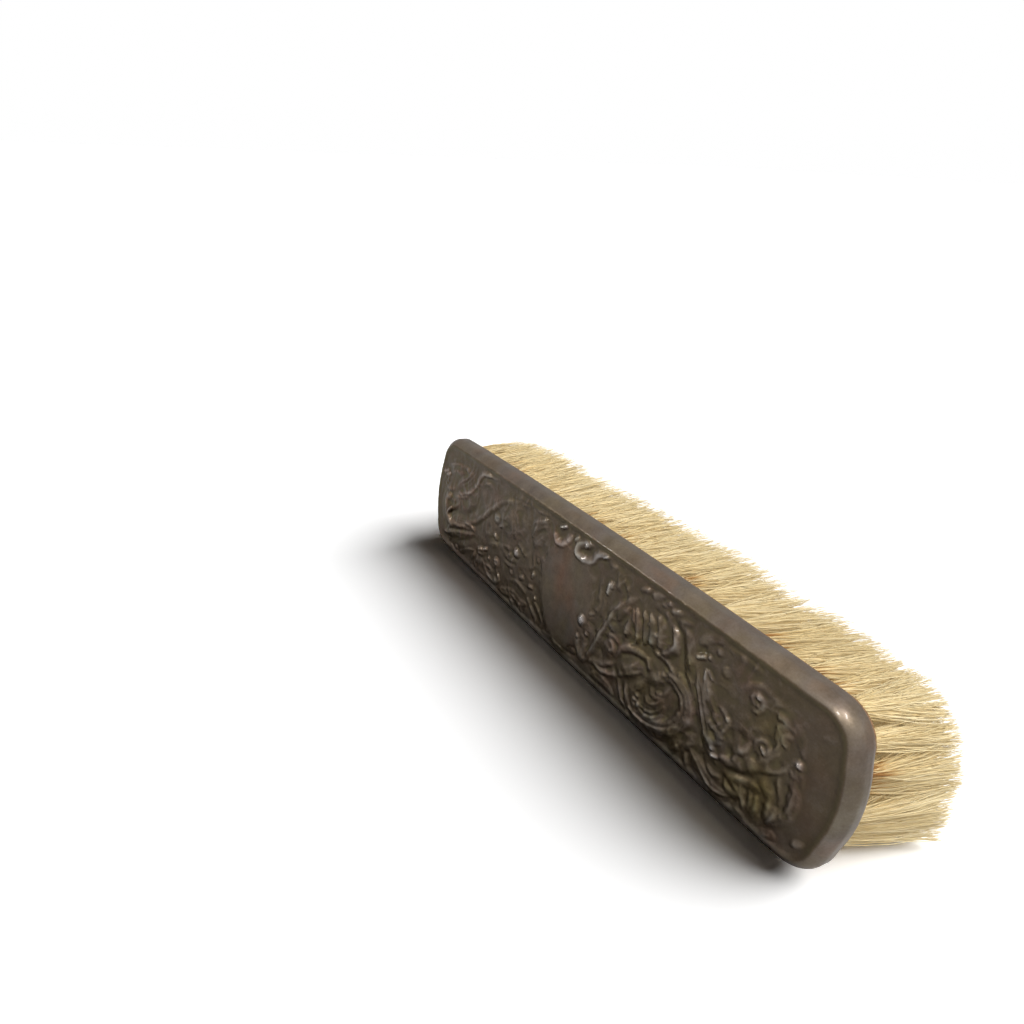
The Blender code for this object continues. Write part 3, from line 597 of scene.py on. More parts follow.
def draw_near_scrolls(art):
    """Near end: a cup of scrolls and ragged acanthus, with a plain margin beyond it."""
    each(art.swell, (60.2, 2.6, 3.6, 3.2, 0.26, 0), (64, 4.8, 3.4, 1.8, 0.2, 50),
        (68.2, -6.4, 3.4, 2.0, 0.3, -40))
    art.plume(1.8, 0.5, 1, (55.6, -8.4), (60.4, -7), (63.8, -4.6), (66.4, -1.8), (67.6, 1.4), (67.8, 4.4),
        grooved=0)
    art.volute((60.4, 9.2), 2.6, 0.8, 250, 1.15, 0.6, 0.45)
    art.ridge(0.5, 0.3, (56.2, 9), (57.7, 11.3), (60, 12.9), (62.6, 12.6), (65.6, 12.4))
    art.plume(1.5, 0.32, 2, (61, 6.6), (63, 9.6), (66, 10.9), (69.4, 10), (72, 7.6), (73.6, 5))
    art.ridge(0.55, 0.42, (65.8, 9), (67.6, 9.5), (67.8, 8.6), (66.6, 7.4), (66.6, 5.6), (67.2, 3.8),
        root=0.05)
    art.ridge(0.5, 0.42, (70.5, 7.4), (69.1, 7.3), (68.2, 6.3), (68.5, 5), (69.7, 4.6), tip=0.05)
    art.ridge(0.45, 0.36, (62.6, -0.8), (63, 1.4), (64.8, 2.6), (66.4, 1.6), (66.2, 0), tip=0.1)
    art.ridge(0.7, 0.55, (62, 0), (61.4, -2.2), (60.2, -3.8), (58.4, -4.6), root=0.2, tip=0.3)
    art.ridge(0.45, 0.4, (59.4, -4.4), (59.1, -5.6), (58.9, -6.6))
    art.ridge(0.7, 0.42, (58, -10.9), (60.4, -9.9), (63, -8.8), (65.4, -8), (67, -8.2))
    art.ridge(0.45, 0.4, (66.4, -3.8), (68.2, -2.4), (70.2, -0.6), (71.3, 1.6), (72.8, 3.2), root=0.2,
        tip=0.1)
    art.ridge(0.5, 0.34, (73.4, 1.8), (74.6, 0.8), (75, -1))
    art.plume(1.6, 0.5, 3, (73.4, -0.6), (74, -3.8), (73.8, -7), (72.6, -10.2), (70.4, -13.4),
        grooved=0.45)
    art.ridge(0.4, 0.34, (70.2, -2.4), (70.6, -4.4), (71.8, -6), (72, -8.2))
    feathers = (
        ((62.6, -10.4), (63.4, -12.8), (64.6, -15)),
        ((64.6, -9.6), (65.6, -11.8), (65.8, -14.4)),
        ((66.8, -9.8), (67.2, -12.2), (66.9, -14.8)),
        ((69.7, -8.2), (70.1, -10.4), (69.6, -13)),
        ((71.2, -8.8), (71.5, -10.8), (70.6, -13.2)),
    )
    for feather in feathers:
        art.ridge(0.55, 0.46, *feather, root=0.3, tip=0.4)
    art.pits(0.5, 0.4, (-0.1, -2), (64.5, -11.2), (68.5, -10.8), (63.9, -8.7))
    art.ridge(0.55, 0.36, (58.2, -12), (59.3, -13.7), (61.6, -13.8), (62.8, -12.4), (61, -11.4),
        (59.6, -11.6))
    art.ridge(0.5, 0.3, (61.6, -15.4), (63.2, -16.4), (65.4, -16.6))
    art.ridge(0.42, 0.42, (76.6, -13.1), (77.6, -12.7), (78.4, -11.9), (78.9, -11))
    art.ridge(0.5, 0.16, (69.4, 12.6), (71, 12), (72.4, 11))
    art.ridge(0.4, 0.16, (75.8, 11.2), (77.2, 12), (78.6, 12.8))
    art.pits(0.65, 0.32, (0.3, -0.7), (69.4, -4.8), (65.2, 3.8), (66.4, 2.4), (60.4, 5.2), (57.8, -11.9),
        (69.3, 5.9), (63.6, -1.7), (62, -15.2), (69.6, 0.4), (59.2, 0))
    each(art.bead, (60.8, 10.1, 0.8, 0.75), (64.5, -0.4, 1.9, 0.2), (73.2, 3.2, 0.95, 0.8))
    each(art.bud, (0.6, 0.6, (64.6, 0.7), (65.5, 0.1)), (1.0, 0.34, (72.1, 1.4), (72.6, 0.6), 0.4),
        (0.9, 0.3, (70.6, -16), (72.3, -15)))
    each(art.hollow, (0.6, 0.3, (60.2, 9.2), (59.9, 8.6)),
        (0.6, 0.3, (61.6, 7.6), (63.4, 9), (65.4, 10.2)),
        (0.6, 0.34, (60.8, -8.6), (63.4, -7.1), (65.8, -4.8)),
        (0.55, 0.4, (72.3, -3), (72.7, -5.6), (72.4, -8.2)))


def stamped_height(x, y, edge):
    """Height of the stamped face, and how bright each point is coloured: by how far it stands out of what
    is round it and by wear, with painted reflection along the lower side and painted shade in the cove
    inside the crease.
    """
    art = Ornament(x, y)
    draw_far_scrolls(art)
    draw_berry_sprays(art)
    draw_cartouche(art)
    draw_shell(art)
    draw_great_scroll(art)
    draw_near_scrolls(art)

    reach = cartouche_reach(x, y)
    plain = rise(x, PLAIN_START, PLAIN_START + PLAIN_FADE) + (reach < 0.95)
    least = 0.45 * np.maximum(rise(x, 72, 64), 0.1)
    worked = np.clip(5 * smoothed(art.body + art.folds, WORK_REACH) - 0.1, least, 1)
    worked *= np.clip(1 - plain, 0.1, 1)
    veined = veins(x, y, VEIN_SIZE) * worked
    work = art.height() + WAVER_HEIGHT * uneven(x, y, 4.6, 6) * worked + VEIN_HEIGHT * veined
    height = GROUND_LEVEL * ease(rise(edge, CREST_WIDTH, CREST_WIDTH + COVE_WIDTH))
    height += RELIEF * work * rise(edge, 0.4, 1.5)
    crest = CREST_WAVER * uneven(x, y, 5, 3) + CREST_RIPPLE * uneven(x, y, 2.1, 4) - CREST_DROP
    height += crest * rise(edge, 1.4, 0)
    for _ in range(SOFTENING):
        height[1:-1, 1:-1] = smoothed(height, 1)[1:-1, 1:-1]

    wear_and_light = smoothed(height - smoothed(height, HOLLOW_REACH), WEAR_SOFTENING)
    # Lower side of the face: painted reflection, coloured lighter.
    lower_side = rise(y, -11.5, -17)
    wear_and_light = np.clip(wear_and_light / FULLY_PROUD, -1, 1) + FOLD_WEAR * art.rubbed + VEIN_WEAR * veined
    # Rubbed lighter on the cartouche; darker towards the far end.
    wear_and_light += CARTOUCHE_WEAR * rise(reach, 1, 0.75) + FAR_END_DARKENING * rise(x, -52, -66)
    # Cove inside the crease, away from the lower side: painted shade, coloured darker.
    wear_and_light += LOWER_SIDE_PAINTED_REFLECTION * lower_side + COVE_PAINTED_SHADE * hump(edge - 0.5, 0.45) * (1 - lower_side)
    return height, wear_and_light


def stains(x, y):
    """Tarnish by colour: reddish above zero, on the cartouche and the far end; olive below it."""
    reddish = patches(
        x, y, (-7.5, 3, 2.2, 7.5, 0.9), (-3, -1, 4, 4, 0.5), (-11, 11, 5, 4, 0.4), (-68, 8, 5, 4, 0.2),
        (-64, -2, 22, 20, 0.45), (22, 8.5, 3, 3, 0.3), (56, 12, 5, 3, 0.3), (76, 0, 3, 9, 0.3))
    olive = patches(
        x, y, (-64, -12.5, 6, 2.5, 0.7), (-55, 3, 6, 4, 0.4), (-44, -3, 5, 4, 0.35), (28, 2, 6, 3, 0.6),
        (31, -8, 6, 4, 0.5), (42.5, 5, 2.5, 5, 0.8), (43, -11, 3, 4, 0.5), (68, -8, 4, 6, 1.0),
        (66, 7, 4, 4, 0.9), (60, -11, 5, 3, 0.8), (51, 9, 2, 4, 0.5))
    return np.clip(reddish - olive + 0.2 * uneven(x, y, 9, 15), -1, 1)


def cool_tint_and_painted_reflection(x, y):
    """Blue-grey tint: a painted reflection of the floor along the lower border, and on a few leaves and
    beads rubbed metal with a painted sheen.
    """
    rubbed = patches(
        x, y, (53, -6, 3, 3.4, 0.9), (29, 5.5, 1.6, 3, 0.7), (34, -13, 4, 2, 0.7), (-75, -5, 2, 3, 0.5),
        (16, 0.6, 2, 1.6, 0.6), (4.1, -4.2, 1.5, 1.5, 0.6), (-43, 4.7, 1.6, 1.6, 0.5), (-6, -8, 8, 5, 0.3))
    # Along the lower border: painted reflection.
    return np.clip(rubbed + 0.8 * rise(y, -15.6, -18) + 0.15 * uneven(x, y, 8, 17), 0, 1)


# --- The silver back's mesh --------------------------------------------------------------------

def evenly(points, count):
    """The same line, with its points evenly spaced."""
    run = np.concatenate([[0], np.cumsum(np.linalg.norm(np.diff(points, axis=0), axis=1))])
    at = np.linspace(0, run[-1], count + 1)
    return np.stack([np.interp(at, run, points[:, axis]) for axis in (0, 1)], axis=1)


def crease_sides(length, width):
    """The crease round the face, as its lower long side and its near end, each from corner to corner.
    The bend where the bowed end meets its corner is softened."""
    half_length, half_width = length / 2 - FACE_INSET, width / 2 - FACE_INSET
    corner_x = half_length - FACE_CORNER - END_BOW
    corner_y = half_width - FACE_CORNER - SIDE_BOW

    def half_corner(start, end):
        turn = math.pi * np.linspace(start, end, 40)
        return FACE_CORNER * np.stack([np.cos(turn), np.sin(turn)], axis=1) + (corner_x, -corner_y)

    s = np.linspace(-1, 1, 200)
    corner = half_corner(1.5, 1.75)
    long_side = np.stack([corner_x * s, -half_width + SIDE_BOW * s * s], axis=1)
    below = evenly(np.concatenate([corner[:0:-1] * (-1, 1), long_side, corner[1:]]), FACE_COLUMNS)
    corner = half_corner(1.75, 2)
    end = np.stack([half_length - END_BOW * s * s, corner_y * s], axis=1)
    beside = evenly(np.concatenate([corner[:-1], end, corner[-2::-1] * (1, -1)]), FACE_ROWS)
    loop = np.concatenate([below[:-1], beside[:-1], (below * (1, -1))[:0:-1], (beside * (-1, 1))[:0:-1]])
    for _ in range(CREASE_SOFTENING):
        loop = (np.roll(loop, 1, axis=0) + 2 * loop + np.roll(loop, -1, axis=0)) / 4
    return loop[: FACE_COLUMNS + 1], loop[FACE_COLUMNS : FACE_COLUMNS + FACE_ROWS + 1]


def face_grid(below, beside):
    """Points of the face, blended between its four sides (a Coons patch)."""
    above, facing = below * (1, -1), beside * (-1, 1)
    u = np.linspace(0, 1, FACE_COLUMNS + 1)[None, :, None]
    v = np.linspace(0, 1, FACE_ROWS + 1)[:, None, None]
    across = (1 - v) * below[None] + v * above[None]
    along = (1 - u) * facing[:, None] + u * beside[:, None]
    lower_corners = (1 - u) * below[0] + u * below[-1]
    upper_corners = (1 - u) * above[0] + u * above[-1]
    return across + along - (1 - v) * lower_corners - v * upper_corners


def distance_inside(flat, crease):
    """How far each point of the face lies inside the crease, measured to every second point of it."""
    parts = [np.hypot(*(part[:, None] - crease[None, ::2]).transpose(2, 0, 1)).min(axis=1)
             for part in np.array_split(flat, 40)]
    return np.concatenate(parts)


def border_loop():
    """Numbers of the grid's border points, anticlockwise."""
    number = np.arange((FACE_ROWS + 1) * (FACE_COLUMNS + 1)).reshape(FACE_ROWS + 1, FACE_COLUMNS + 1)
    return np.concatenate([number[0, :-1], number[:-1, -1], number[-1, :0:-1], number[:0:-1, 0]])


def rim_profile():
    """(distance out from the crease, z, how worn) round the shoulder, down the side and under the lip."""
    rings = []
    for a in math.pi / 2 * np.arange(1, ROLL_RINGS + 1) / ROLL_RINGS:
        down = ROLL_START * (1 - math.cos(a)) ** ROLL_SQUARENESS
        rings.append((FACE_INSET * math.sin(a), -down, RIM_WEAR))
    for share in np.arange(1, SIDE_RINGS + 1) / SIDE_RINGS:
        rings.append((FACE_INSET, -ROLL_START - (RIM_DEPTH - ROLL_START - 0.32) * share, RIM_WEAR))
    inner = FACE_INSET - SILVER_THICKNESS
    return rings + [
        (FACE_INSET - 0.06, -RIM_DEPTH + 0.15, RIM_WEAR),
        (FACE_INSET - 0.18, -RIM_DEPTH + 0.03, RIM_WEAR),
        (inner + 0.1, -RIM_DEPTH, 0.2),
        (inner, -RIM_DEPTH + 0.12, -0.6),
        (inner, -ROLL_START, INSIDE_WEAR),
        (0.9, -1.0, INSIDE_WEAR),
        (0.2, -0.66, INSIDE_WEAR),
    ]


def nicks(x, y):
    """Small dents along the rim's upper edge, from handling."""
    places = ((-56.6, 19.6, 0.9), (-29.6, 19.5, 0.7), (-7.4, 20.2, 0.8), (34, 19.8, 0.7), (63, 19.3, 1.1),
              (84.6, 5.5, 1.7), (83.8, -8, 1.0), (-12, -20, 0.9), (48, -19.8, 0.8))
    return patches(x, y, *((at_x, at_y, size, size, NICK_DEPTH) for at_x, at_y, size in places))


def add_mesh(name, points, faces, material, **values):
    """A smooth mesh object in the brush's frame, from points in millimetres, arrays of faces with the
    same number of corners, and named values at the points."""
    mesh = bpy.data.meshes.new(name)
    sizes = np.concatenate([np.full(len(group), group.shape[1]) for group in faces])
    corners = np.concatenate([group.ravel() for group in faces])
    mesh.vertices.add(len(points))
    mesh.vertices.foreach_set("co", (points * MM).astype(np.float32).ravel())
    mesh.loops.add(len(corners))
    mesh.loops.foreach_set("vertex_index", corners.astype(np.int32))
    mesh.polygons.add(len(sizes))
    mesh.polygons.foreach_set("loop_start", (np.cumsum(sizes) - sizes).astype(np.int32))
    mesh.update(calc_edges=True)
    mesh.shade_smooth()
    for key, value in values.items():
        mesh.attributes.new(key, "FLOAT", "POINT").data.foreach_set("value", value.astype(np.float32))
    mesh.materials.append(material)
    made = bpy.data.objects.new(name, mesh)
    made.matrix_world = POSE
    bpy.context.scene.collection.objects.link(made)
    return made


def build_silver_back(material):
    """The stamped face, the crease round it and the rim rolled over the sides, as one sheet."""
    grid = face_grid(*crease_sides(LENGTH, WIDTH))
    loop = border_loop()
    flat = grid.reshape(-1, 2)
    crease = flat[loop]
    edge = distance_inside(flat, crease).reshape(grid.shape[:2])
    height, worn = stamped_height(grid[..., 0], grid[..., 1], edge)
    ahead = np.roll(crease, -1, axis=0) - np.roll(crease, 1, axis=0)
    outward = np.stack([ahead[:, 1], -ahead[:, 0]], axis=1)
    outward /= np.linalg.norm(outward, axis=1, keepdims=True)

    points = [np.column_stack([flat, height.ravel()])]
    wear_and_light = [worn.ravel()]
    tarnish = [stains(*flat.T)]
    cool = [cool_tint_and_painted_reflection(*flat.T)]
    number = np.arange(len(flat)).reshape(grid.shape[:2])
    squares = np.stack([number[:-1, :-1], number[:-1, 1:], number[1:, 1:], number[1:, :-1]], axis=-1)
    quads = [squares.reshape(-1, 4)]
    crest = height.ravel()[loop]
    inner, outer = loop, len(flat) + np.arange(len(loop))
    for out, z, wear in rim_profile():
        x, y = (crease + outward * out).T
        share = min(1.0, out / FACE_INSET)
        dent = RIM_WAVER * uneven(x, y, 9, 7) + nicks(x, y) * max(0, 1 + z / ROLL_START)
        x, y = x - outward[:, 0] * dent * share, y - outward[:, 1] * dent * share
        points.append(np.column_stack([x, y, z + (crest - dent) * (1 - share)]))
        tarnish.append(0.2 * uneven(x, y, 12, 16))
        cool.append(0.05 + 0.2 * uneven(x, y, 14, 18))
        # Painted reflection on the near end and lower edge of the rim, and a painted glint on the lip by
        # the near end.
        rim_painted_light = (NEAR_RIM_PAINTED_REFLECTION * rise(x, 78, 83) + LOWER_RIM_PAINTED_REFLECTION * rise(y, -18.6, -19.8)) * (wear > 0)
        if z < -RIM_DEPTH + 0.4 and wear > 0.2:
            rim_painted_light += LIP_PAINTED_GLINT * hump(y - 8, 7) * rise(x, 80, 83)
        wear_and_light.append(wear + rim_painted_light + 0.12 * uneven(x, y, 6, 8))
        quads.append(np.stack([inner, outer, np.roll(outer, -1), np.roll(inner, -1)], axis=1))
        inner, outer = outer, outer + len(loop)

    faces = [np.concatenate(quads), inner[None, ::-1]]
    made = add_mesh("silver_back_stamped", np.concatenate(points), faces, material,
                    worn=np.concatenate(wear_and_light), stain=np.concatenate(tarnish), cool=np.concatenate(cool))
    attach(made, "root")
    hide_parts("silver_back")


# --- Bristles ----------------------------------------------------------------------------------

def tuft_places(row):
    """Where the tufts of a row stand in the stock: staggered from row to row."""
    count = TUFTS_PER_ROW[row]
    pitch = 2 * (LENGTH / 2 - END_MARGIN) / (max(TUFTS_PER_ROW) - 1)
    row_pitch = 2 * (WIDTH / 2 - SIDE_MARGIN) / (ROWS - 1)
    x = (np.arange(count) - (count - 1) / 2) * pitch
    return np.column_stack([x, np.full(count, (row - (ROWS - 1) / 2) * row_pitch)])


def ground_line(z):
    """The y of the ground at the depth z."""
    return -WIDTH / 2 + 0.02 + (-RIM_DEPTH - z) * math.tan(LEAN)


def top_line(x):
    """How high the tips of the topmost row stand along the brush, a little wavy from use."""
    at = (-87, -77.6, -59, -42, -19, 6, 24, 42, 55, 70, 78)
    y = (12, 15.2, 17.2, 16.3, 17.5, 17.5, 18.7, 16.4, 17.2, 15.2, 14.9)
    return np.interp(x, at, y)


def near_limit(y):
    """How far along the brush the tips of the near end reach: its upper corner is rounded."""
    return np.interp(y, (-20, 1, 7.8, 11.4, 14.4, 16), (88.6, 87.4, 84.9, 82.4, 78.4, 75))


def place_tips(row, tufts, rng):
    """Where each strand ends: tufts fan out to meet, with the tips drawn a little into small clumps."""
    count = len(tufts) * STRANDS_PER_TUFT
    tuft = np.repeat(np.arange(len(tufts)), STRANDS_PER_TUFT)
    pitch = tufts[1, 0] - tufts[0, 0]
    x = tufts[tuft, 0] + rng.uniform(-0.5, 0.5, count) * pitch + rng.normal(0, TIP_SCATTER, count)
    share = row + 0.5 + rng.uniform(-0.5, 0.5, count) + rng.normal(0, ROW_SCATTER, count)

    clump_x = np.round(x / CLUMP_PITCH + 0.35 * np.sin(5 * share)) * CLUMP_PITCH
    clump_share = np.round(share * 2.1 + 0.3 * np.sin(x)) / 2.1
    clump = scramble(clump_x, clump_share)
    x += (clump_x - x) * CLUMP_PULL * clump
    share += (clump_share - share) * CLUMP_PULL * clump
    share /= ROWS

    x *= (TIP_HALF_LENGTH + 1.2) / (tufts[-1, 0] + 2.6)
    limit = TIP_HALF_LENGTH + TIP_FLARE + rng.normal(0, 0.3, count)
    x = np.clip(x, -limit, limit)
    length = 0.9 * clump - 0.05 + rng.normal(0, 0.08, count) + 0.35 * uneven(x, share * 30, 11, 20)
    stray = rng.random(count) < STRAY_SHARE
    length += stray * rng.uniform(0.3, 1.6, count)
    z = -TIP_DEPTH - length

    low = ground_line(z) + LOWER_EDGE_RISE * rise(x, 30, 64)
    y = low + np.clip(share, 0.004, 1.03) * (top_line(x) + 0.4 + rng.normal(0, 0.25, count) - low)
    end = TIP_HALF_LENGTH - END_ROUNDING
    squeeze = (near_limit(y) - end) / (END_ROUNDING + TIP_FLARE)
    x = np.where(x > end, end + (x - end) * squeeze, x)
    return tuft, x, y, z, stray


def strand_faces(count, per_strand):
    """Quads along each strand, and triangles at its tip and its root."""
    rings = len(STRAND_STATIONS) - 1
    near = np.arange(STRAND_SIDES)
    following = (near + 1) % STRAND_SIDES
    first = STRAND_SIDES * np.arange(rings - 1)[:, None]
    sides = np.stack([first + near, first + near + STRAND_SIDES, first + following + STRAND_SIDES,
                      first + following], axis=-1).reshape(-1, 4)
    last = STRAND_SIDES * (rings - 1)
    tip = np.stack([last + near, np.full(STRAND_SIDES, per_strand - 1), last + following], axis=-1)
    start = (np.arange(count) * per_strand)[:, None, None]
    return (sides + start).reshape(-1, 4), (np.concatenate([tip, near[None]]) + start).reshape(-1, 3)


def build_bristle_row(row, material):
    """One row of tufts as single strands, each a thin tube from its hole to its tip."""
    rng = np.random.default_rng(100 + row)
    tufts = tuft_places(row)
    tuft, *tip, stray = place_tips(row, tufts, rng)
    count = len(tuft)
    heading = rng.uniform(0, 2 * math.pi, count)
    radius = TUFT_RADIUS * np.sqrt(rng.random(count))
    root = [tufts[tuft, 0] + radius * np.cos(heading), tufts[tuft, 1] + radius * np.sin(heading)]
    bend = rng.normal(0, BEND, (count, 2)) + stray[:, None] * rng.normal(0, STRAY_BEND, (count, 2))

    share = np.array(STRAND_STATIONS)
    bow = np.sin(math.pi * share)
    phase, sway = rng.uniform(0, 2 * math.pi, (count, 1)), rng.normal(0, SWAY, (count, 2))
    wave = np.sin(8 * share + phase) * bow
    x, y = (root[i][:, None] + (tip[i] - root[i])[:, None] * share**0.82 + bend[:, i : i + 1] * bow
            + sway[:, i : i + 1] * wave for i in (0, 1))
    root_z = STOCK_BOTTOM + ROOT_DEPTH
    z = root_z + (tip[2] - root_z)[:, None] * share
    y = np.maximum(y, ground_line(z) + STRAND_RADIUS * 1.3)
    line = np.stack([x, y, z], axis=-1)

    thick = STRAND_RADIUS * rng.uniform(0.75, 1.25, count)[:, None] * (1.05 - 0.45 * share**3)
    corner = 2 * math.pi * np.arange(STRAND_SIDES) / STRAND_SIDES
    turn = rng.uniform(0, 2 * math.pi, count)[:, None] + corner
    ring = np.stack([np.cos(turn), np.sin(turn), np.zeros_like(turn)], axis=-1)
    tube = line[:, :-1, None] + ring[:, None] * thick[:, :-1, None, None]
    points = np.concatenate([tube.reshape(count, -1, 3), line[:, -1:]], axis=1)
    per_strand = points.shape[1]

    # Some tufts carry the amber further up, as painted shade in the gaps between tufts.
    amber = (rng.random(len(tufts)) < AMBER_ROOT_SHADE_SHARE)[tuft] * rng.uniform(-0.1, 0.27, count)
    run = np.append(np.repeat(share[:-1], STRAND_SIDES), 1.0) - amber[:, None]
    made = add_mesh(f"bristles_{row + 1}", points.reshape(-1, 3), strand_faces(count, per_strand), material,
                    run=run.ravel(), tint=np.repeat(rng.random(count), per_strand))
    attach(made, "root")
    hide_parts(f"bristle_row_{row + 1}")
    return made


# --- Materials ---------------------------------------------------------------------------------

def new_tree(name):
    material = bpy.data.materials.new(name)
    material.use_nodes = True
    tree = material.node_tree
    tree.nodes.clear()
    return material, tree


def add(tree, kind, settings=None, **inputs):
    """Adds a node, with its settings, and with its inputs set to values or joined to sockets. An input
    goes by its name, or by i and its number. A colour is given without its alpha."""
    made = tree.nodes.new("ShaderNode" + kind)
    for key, value in (settings or {}).items():
        setattr(made, key, value)
    for key, value in inputs.items():
        socket = made.inputs[int(key[1:]) if key[1:].isdigit() else key.replace("_", " ")]
        if isinstance(value, bpy.types.NodeSocket):
            tree.links.new(value, socket)
        else:
            socket.default_value = (*value, 1.0) if socket.type == "RGBA" else value
    return made


def math_node(tree, operation, *values, clamp=False):
    inputs = {f"i{number}": value for number, value in enumerate(values)}
    return add(tree, "Math", {"operation": operation, "use_clamp": clamp}, **inputs).outputs[0]


def scaled(tree, value, factor, added=0.0, clamp=False):
    """The value times the factor, plus what is added."""
    return math_node(tree, "MULTIPLY_ADD", value, factor, added, clamp=clamp)


def ramp(tree, factor, stops):
    made = add(tree, "ValToRGB", Fac=factor)
    elements = made.color_ramp.elements
    while len(elements) < len(stops):
        elements.new(0.5)
    for element, (place, colour) in zip(elements, stops):
        element.position = place
        element.color = (*colour, 1.0)
    return made.outputs["Color"]


def mix_colour(tree, factor, a, b, blend="MIX"):
    return add(tree, "Mix", {"data_type": "RGBA", "blend_type": blend}, i0=factor, i6=a, i7=b).outputs[2]


def tinted(tree, colour, tint, factor=1.0):
    """The colour multiplied by the tint, as far as the factor says."""
    return mix_colour(tree, factor, colour, tint, "MULTIPLY")


def point_value(tree, name):
    return add(tree, "Attribute", {"attribute_name": name}).outputs["Fac"]


def object_coordinates(tree, scale=(1, 1, 1), turn=(0, 0, 0)):
    place = add(tree, "TexCoord").outputs["Object"]
    return add(tree, "Mapping", Vector=place, Scale=scale, Rotation=turn).outputs[0]


def noise(tree, place, scale, detail=4.0, rough=0.55, distortion=0.0):
    return add(tree, "TexNoise", Vector=place, Scale=scale, Detail=detail, Roughness=rough,
               Distortion=distortion).outputs["Fac"]


def bumps(tree, strength, distance, height, **below):
    return add(tree, "Bump", Strength=strength, Distance=distance, Height=height, **below).outputs[0]


def finish_tree(tree, shader):
    output = tree.nodes.new("ShaderNodeOutputMaterial")
    tree.links.new(shader.outputs[0], output.inputs["Surface"])


def tarnished_silver():
    """Old silver: brown tarnish settled in the hollows, rubbed to grey metal where it stands out; the
    brightness it is given also carries painted reflection, painted shade and a painted glint.
    """
    material, tree = new_tree("tarnished_silver")
    place = object_coordinates(tree)
    clouds = noise(tree, place, 75.0, 5.0)
    patchy = noise(tree, place, 260.0, 6.0, 0.6)
    specks = noise(tree, place, 1900.0, 3.0, 0.7)
    scratched = noise(tree, object_coordinates(tree, (90, 2600, 900), (0, 0, 0.32)), 1.0, 3.0)

    # The brightness value holds wear and painted light: painted reflection, painted shade and a painted
    # glint.
    wear_and_light = point_value(tree, "worn")
    rubbed = scaled(tree, wear_and_light, 0.20, 0.21)
    rubbed = scaled(tree, patchy, 0.26, rubbed)
    rubbed = scaled(tree, specks, 0.16, rubbed, clamp=True)
    colour = ramp(tree, rubbed, (
        (0.0, (0.036, 0.025, 0.012)), (0.24, (0.072, 0.052, 0.028)), (0.42, (0.138, 0.102, 0.067)),
        (0.60, (0.240, 0.194, 0.150)), (0.85, (0.42, 0.38, 0.34)), (1.0, (0.56, 0.53, 0.49))))
    colour = tinted(tree, colour, ramp(tree, clouds, (
        (0.30, (1.00, 0.95, 0.82)), (0.46, (1.0, 0.97, 0.90)), (0.56, (0.98, 0.96, 0.98)),
        (0.72, (1.06, 0.90, 0.82)))))
    # Reddish and olive tarnish, and the cool tint, which is painted reflection along the lower border and
    # painted sheen with rubbed metal on a few leaves.
    for name, sign, tint in (("stain", 1.0, (1.22, 0.88, 0.70)), ("stain", -1.0, (1.10, 1.08, 0.62)),
                             ("cool", 1.0, (0.88, 1.03, 1.18))):
        colour = tinted(tree, colour, tint, scaled(tree, point_value(tree, name), sign, clamp=True))
    # Olive tarnish settles where the value is low, the painted shade of the cove among it.
    settled = scaled(tree, wear_and_light, -1.1, 0.05, clamp=True)
    settled = scaled(tree, settled, scaled(tree, patchy, 1.6), clamp=True)
    colour = mix_colour(tree, settled, colour, (0.150, 0.118, 0.055))

    dull = scaled(tree, scratched, 0.10, scaled(tree, rubbed, -0.22, 0.44))
    grain = bumps(tree, 0.25, 0.0001, scaled(tree, specks, 0.7, patchy))
    finish_tree(tree, add(tree, "BsdfPrincipled", Base_Color=colour, Metallic=0.92, Roughness=dull,
                          Normal=bumps(tree, 0.10, 0.00008, scratched, Normal=grain),
                          Coat_Weight=0.4, Coat_Roughness=0.13))
    return material


def natural_bristle():
    """Undyed boar bristle: amber near the root, partly its own colour and partly painted shade at the
    roots, cream to straw along it, each strand a little different.
    """
    material, tree = new_tree("natural_bristle")
    strand = point_value(tree, "tint")
    streaks = noise(tree, object_coordinates(tree, (1, 1, 0.25)), 260.0, 3.0)
    # The dark amber at the root is partly painted shade.
    colour = ramp(tree, point_value(tree, "run"), (
        (0.0, (0.38, 0.19, 0.06)), (0.07, (0.68, 0.47, 0.21)), (0.17, (0.86, 0.73, 0.44)),
        (1.0, (0.88, 0.78, 0.515))))
    colour = tinted(tree, colour, ramp(tree, strand, (
        (0.0, (0.82, 0.72, 0.56)), (0.07, (0.96, 0.91, 0.82)), (0.5, (1.0, 0.98, 0.95)),
        (1.0, (1.04, 1.04, 1.08)))))
    colour = tinted(tree, colour, ramp(tree, streaks, ((0.3, (0.91, 0.88, 0.82)), (0.7, (1.0, 1.0, 1.0)))))
    skin = add(tree, "BsdfPrincipled", Base_Color=colour, Roughness=scaled(tree, strand, 0.14, 0.40),
               Specular_IOR_Level=0.35)
    glow = add(tree, "BsdfTranslucent", Color=colour)
    finish_tree(tree, add(tree, "MixShader", Fac=0.08, i1=skin.outputs[0], i2=glow.outputs[0]))
    return material


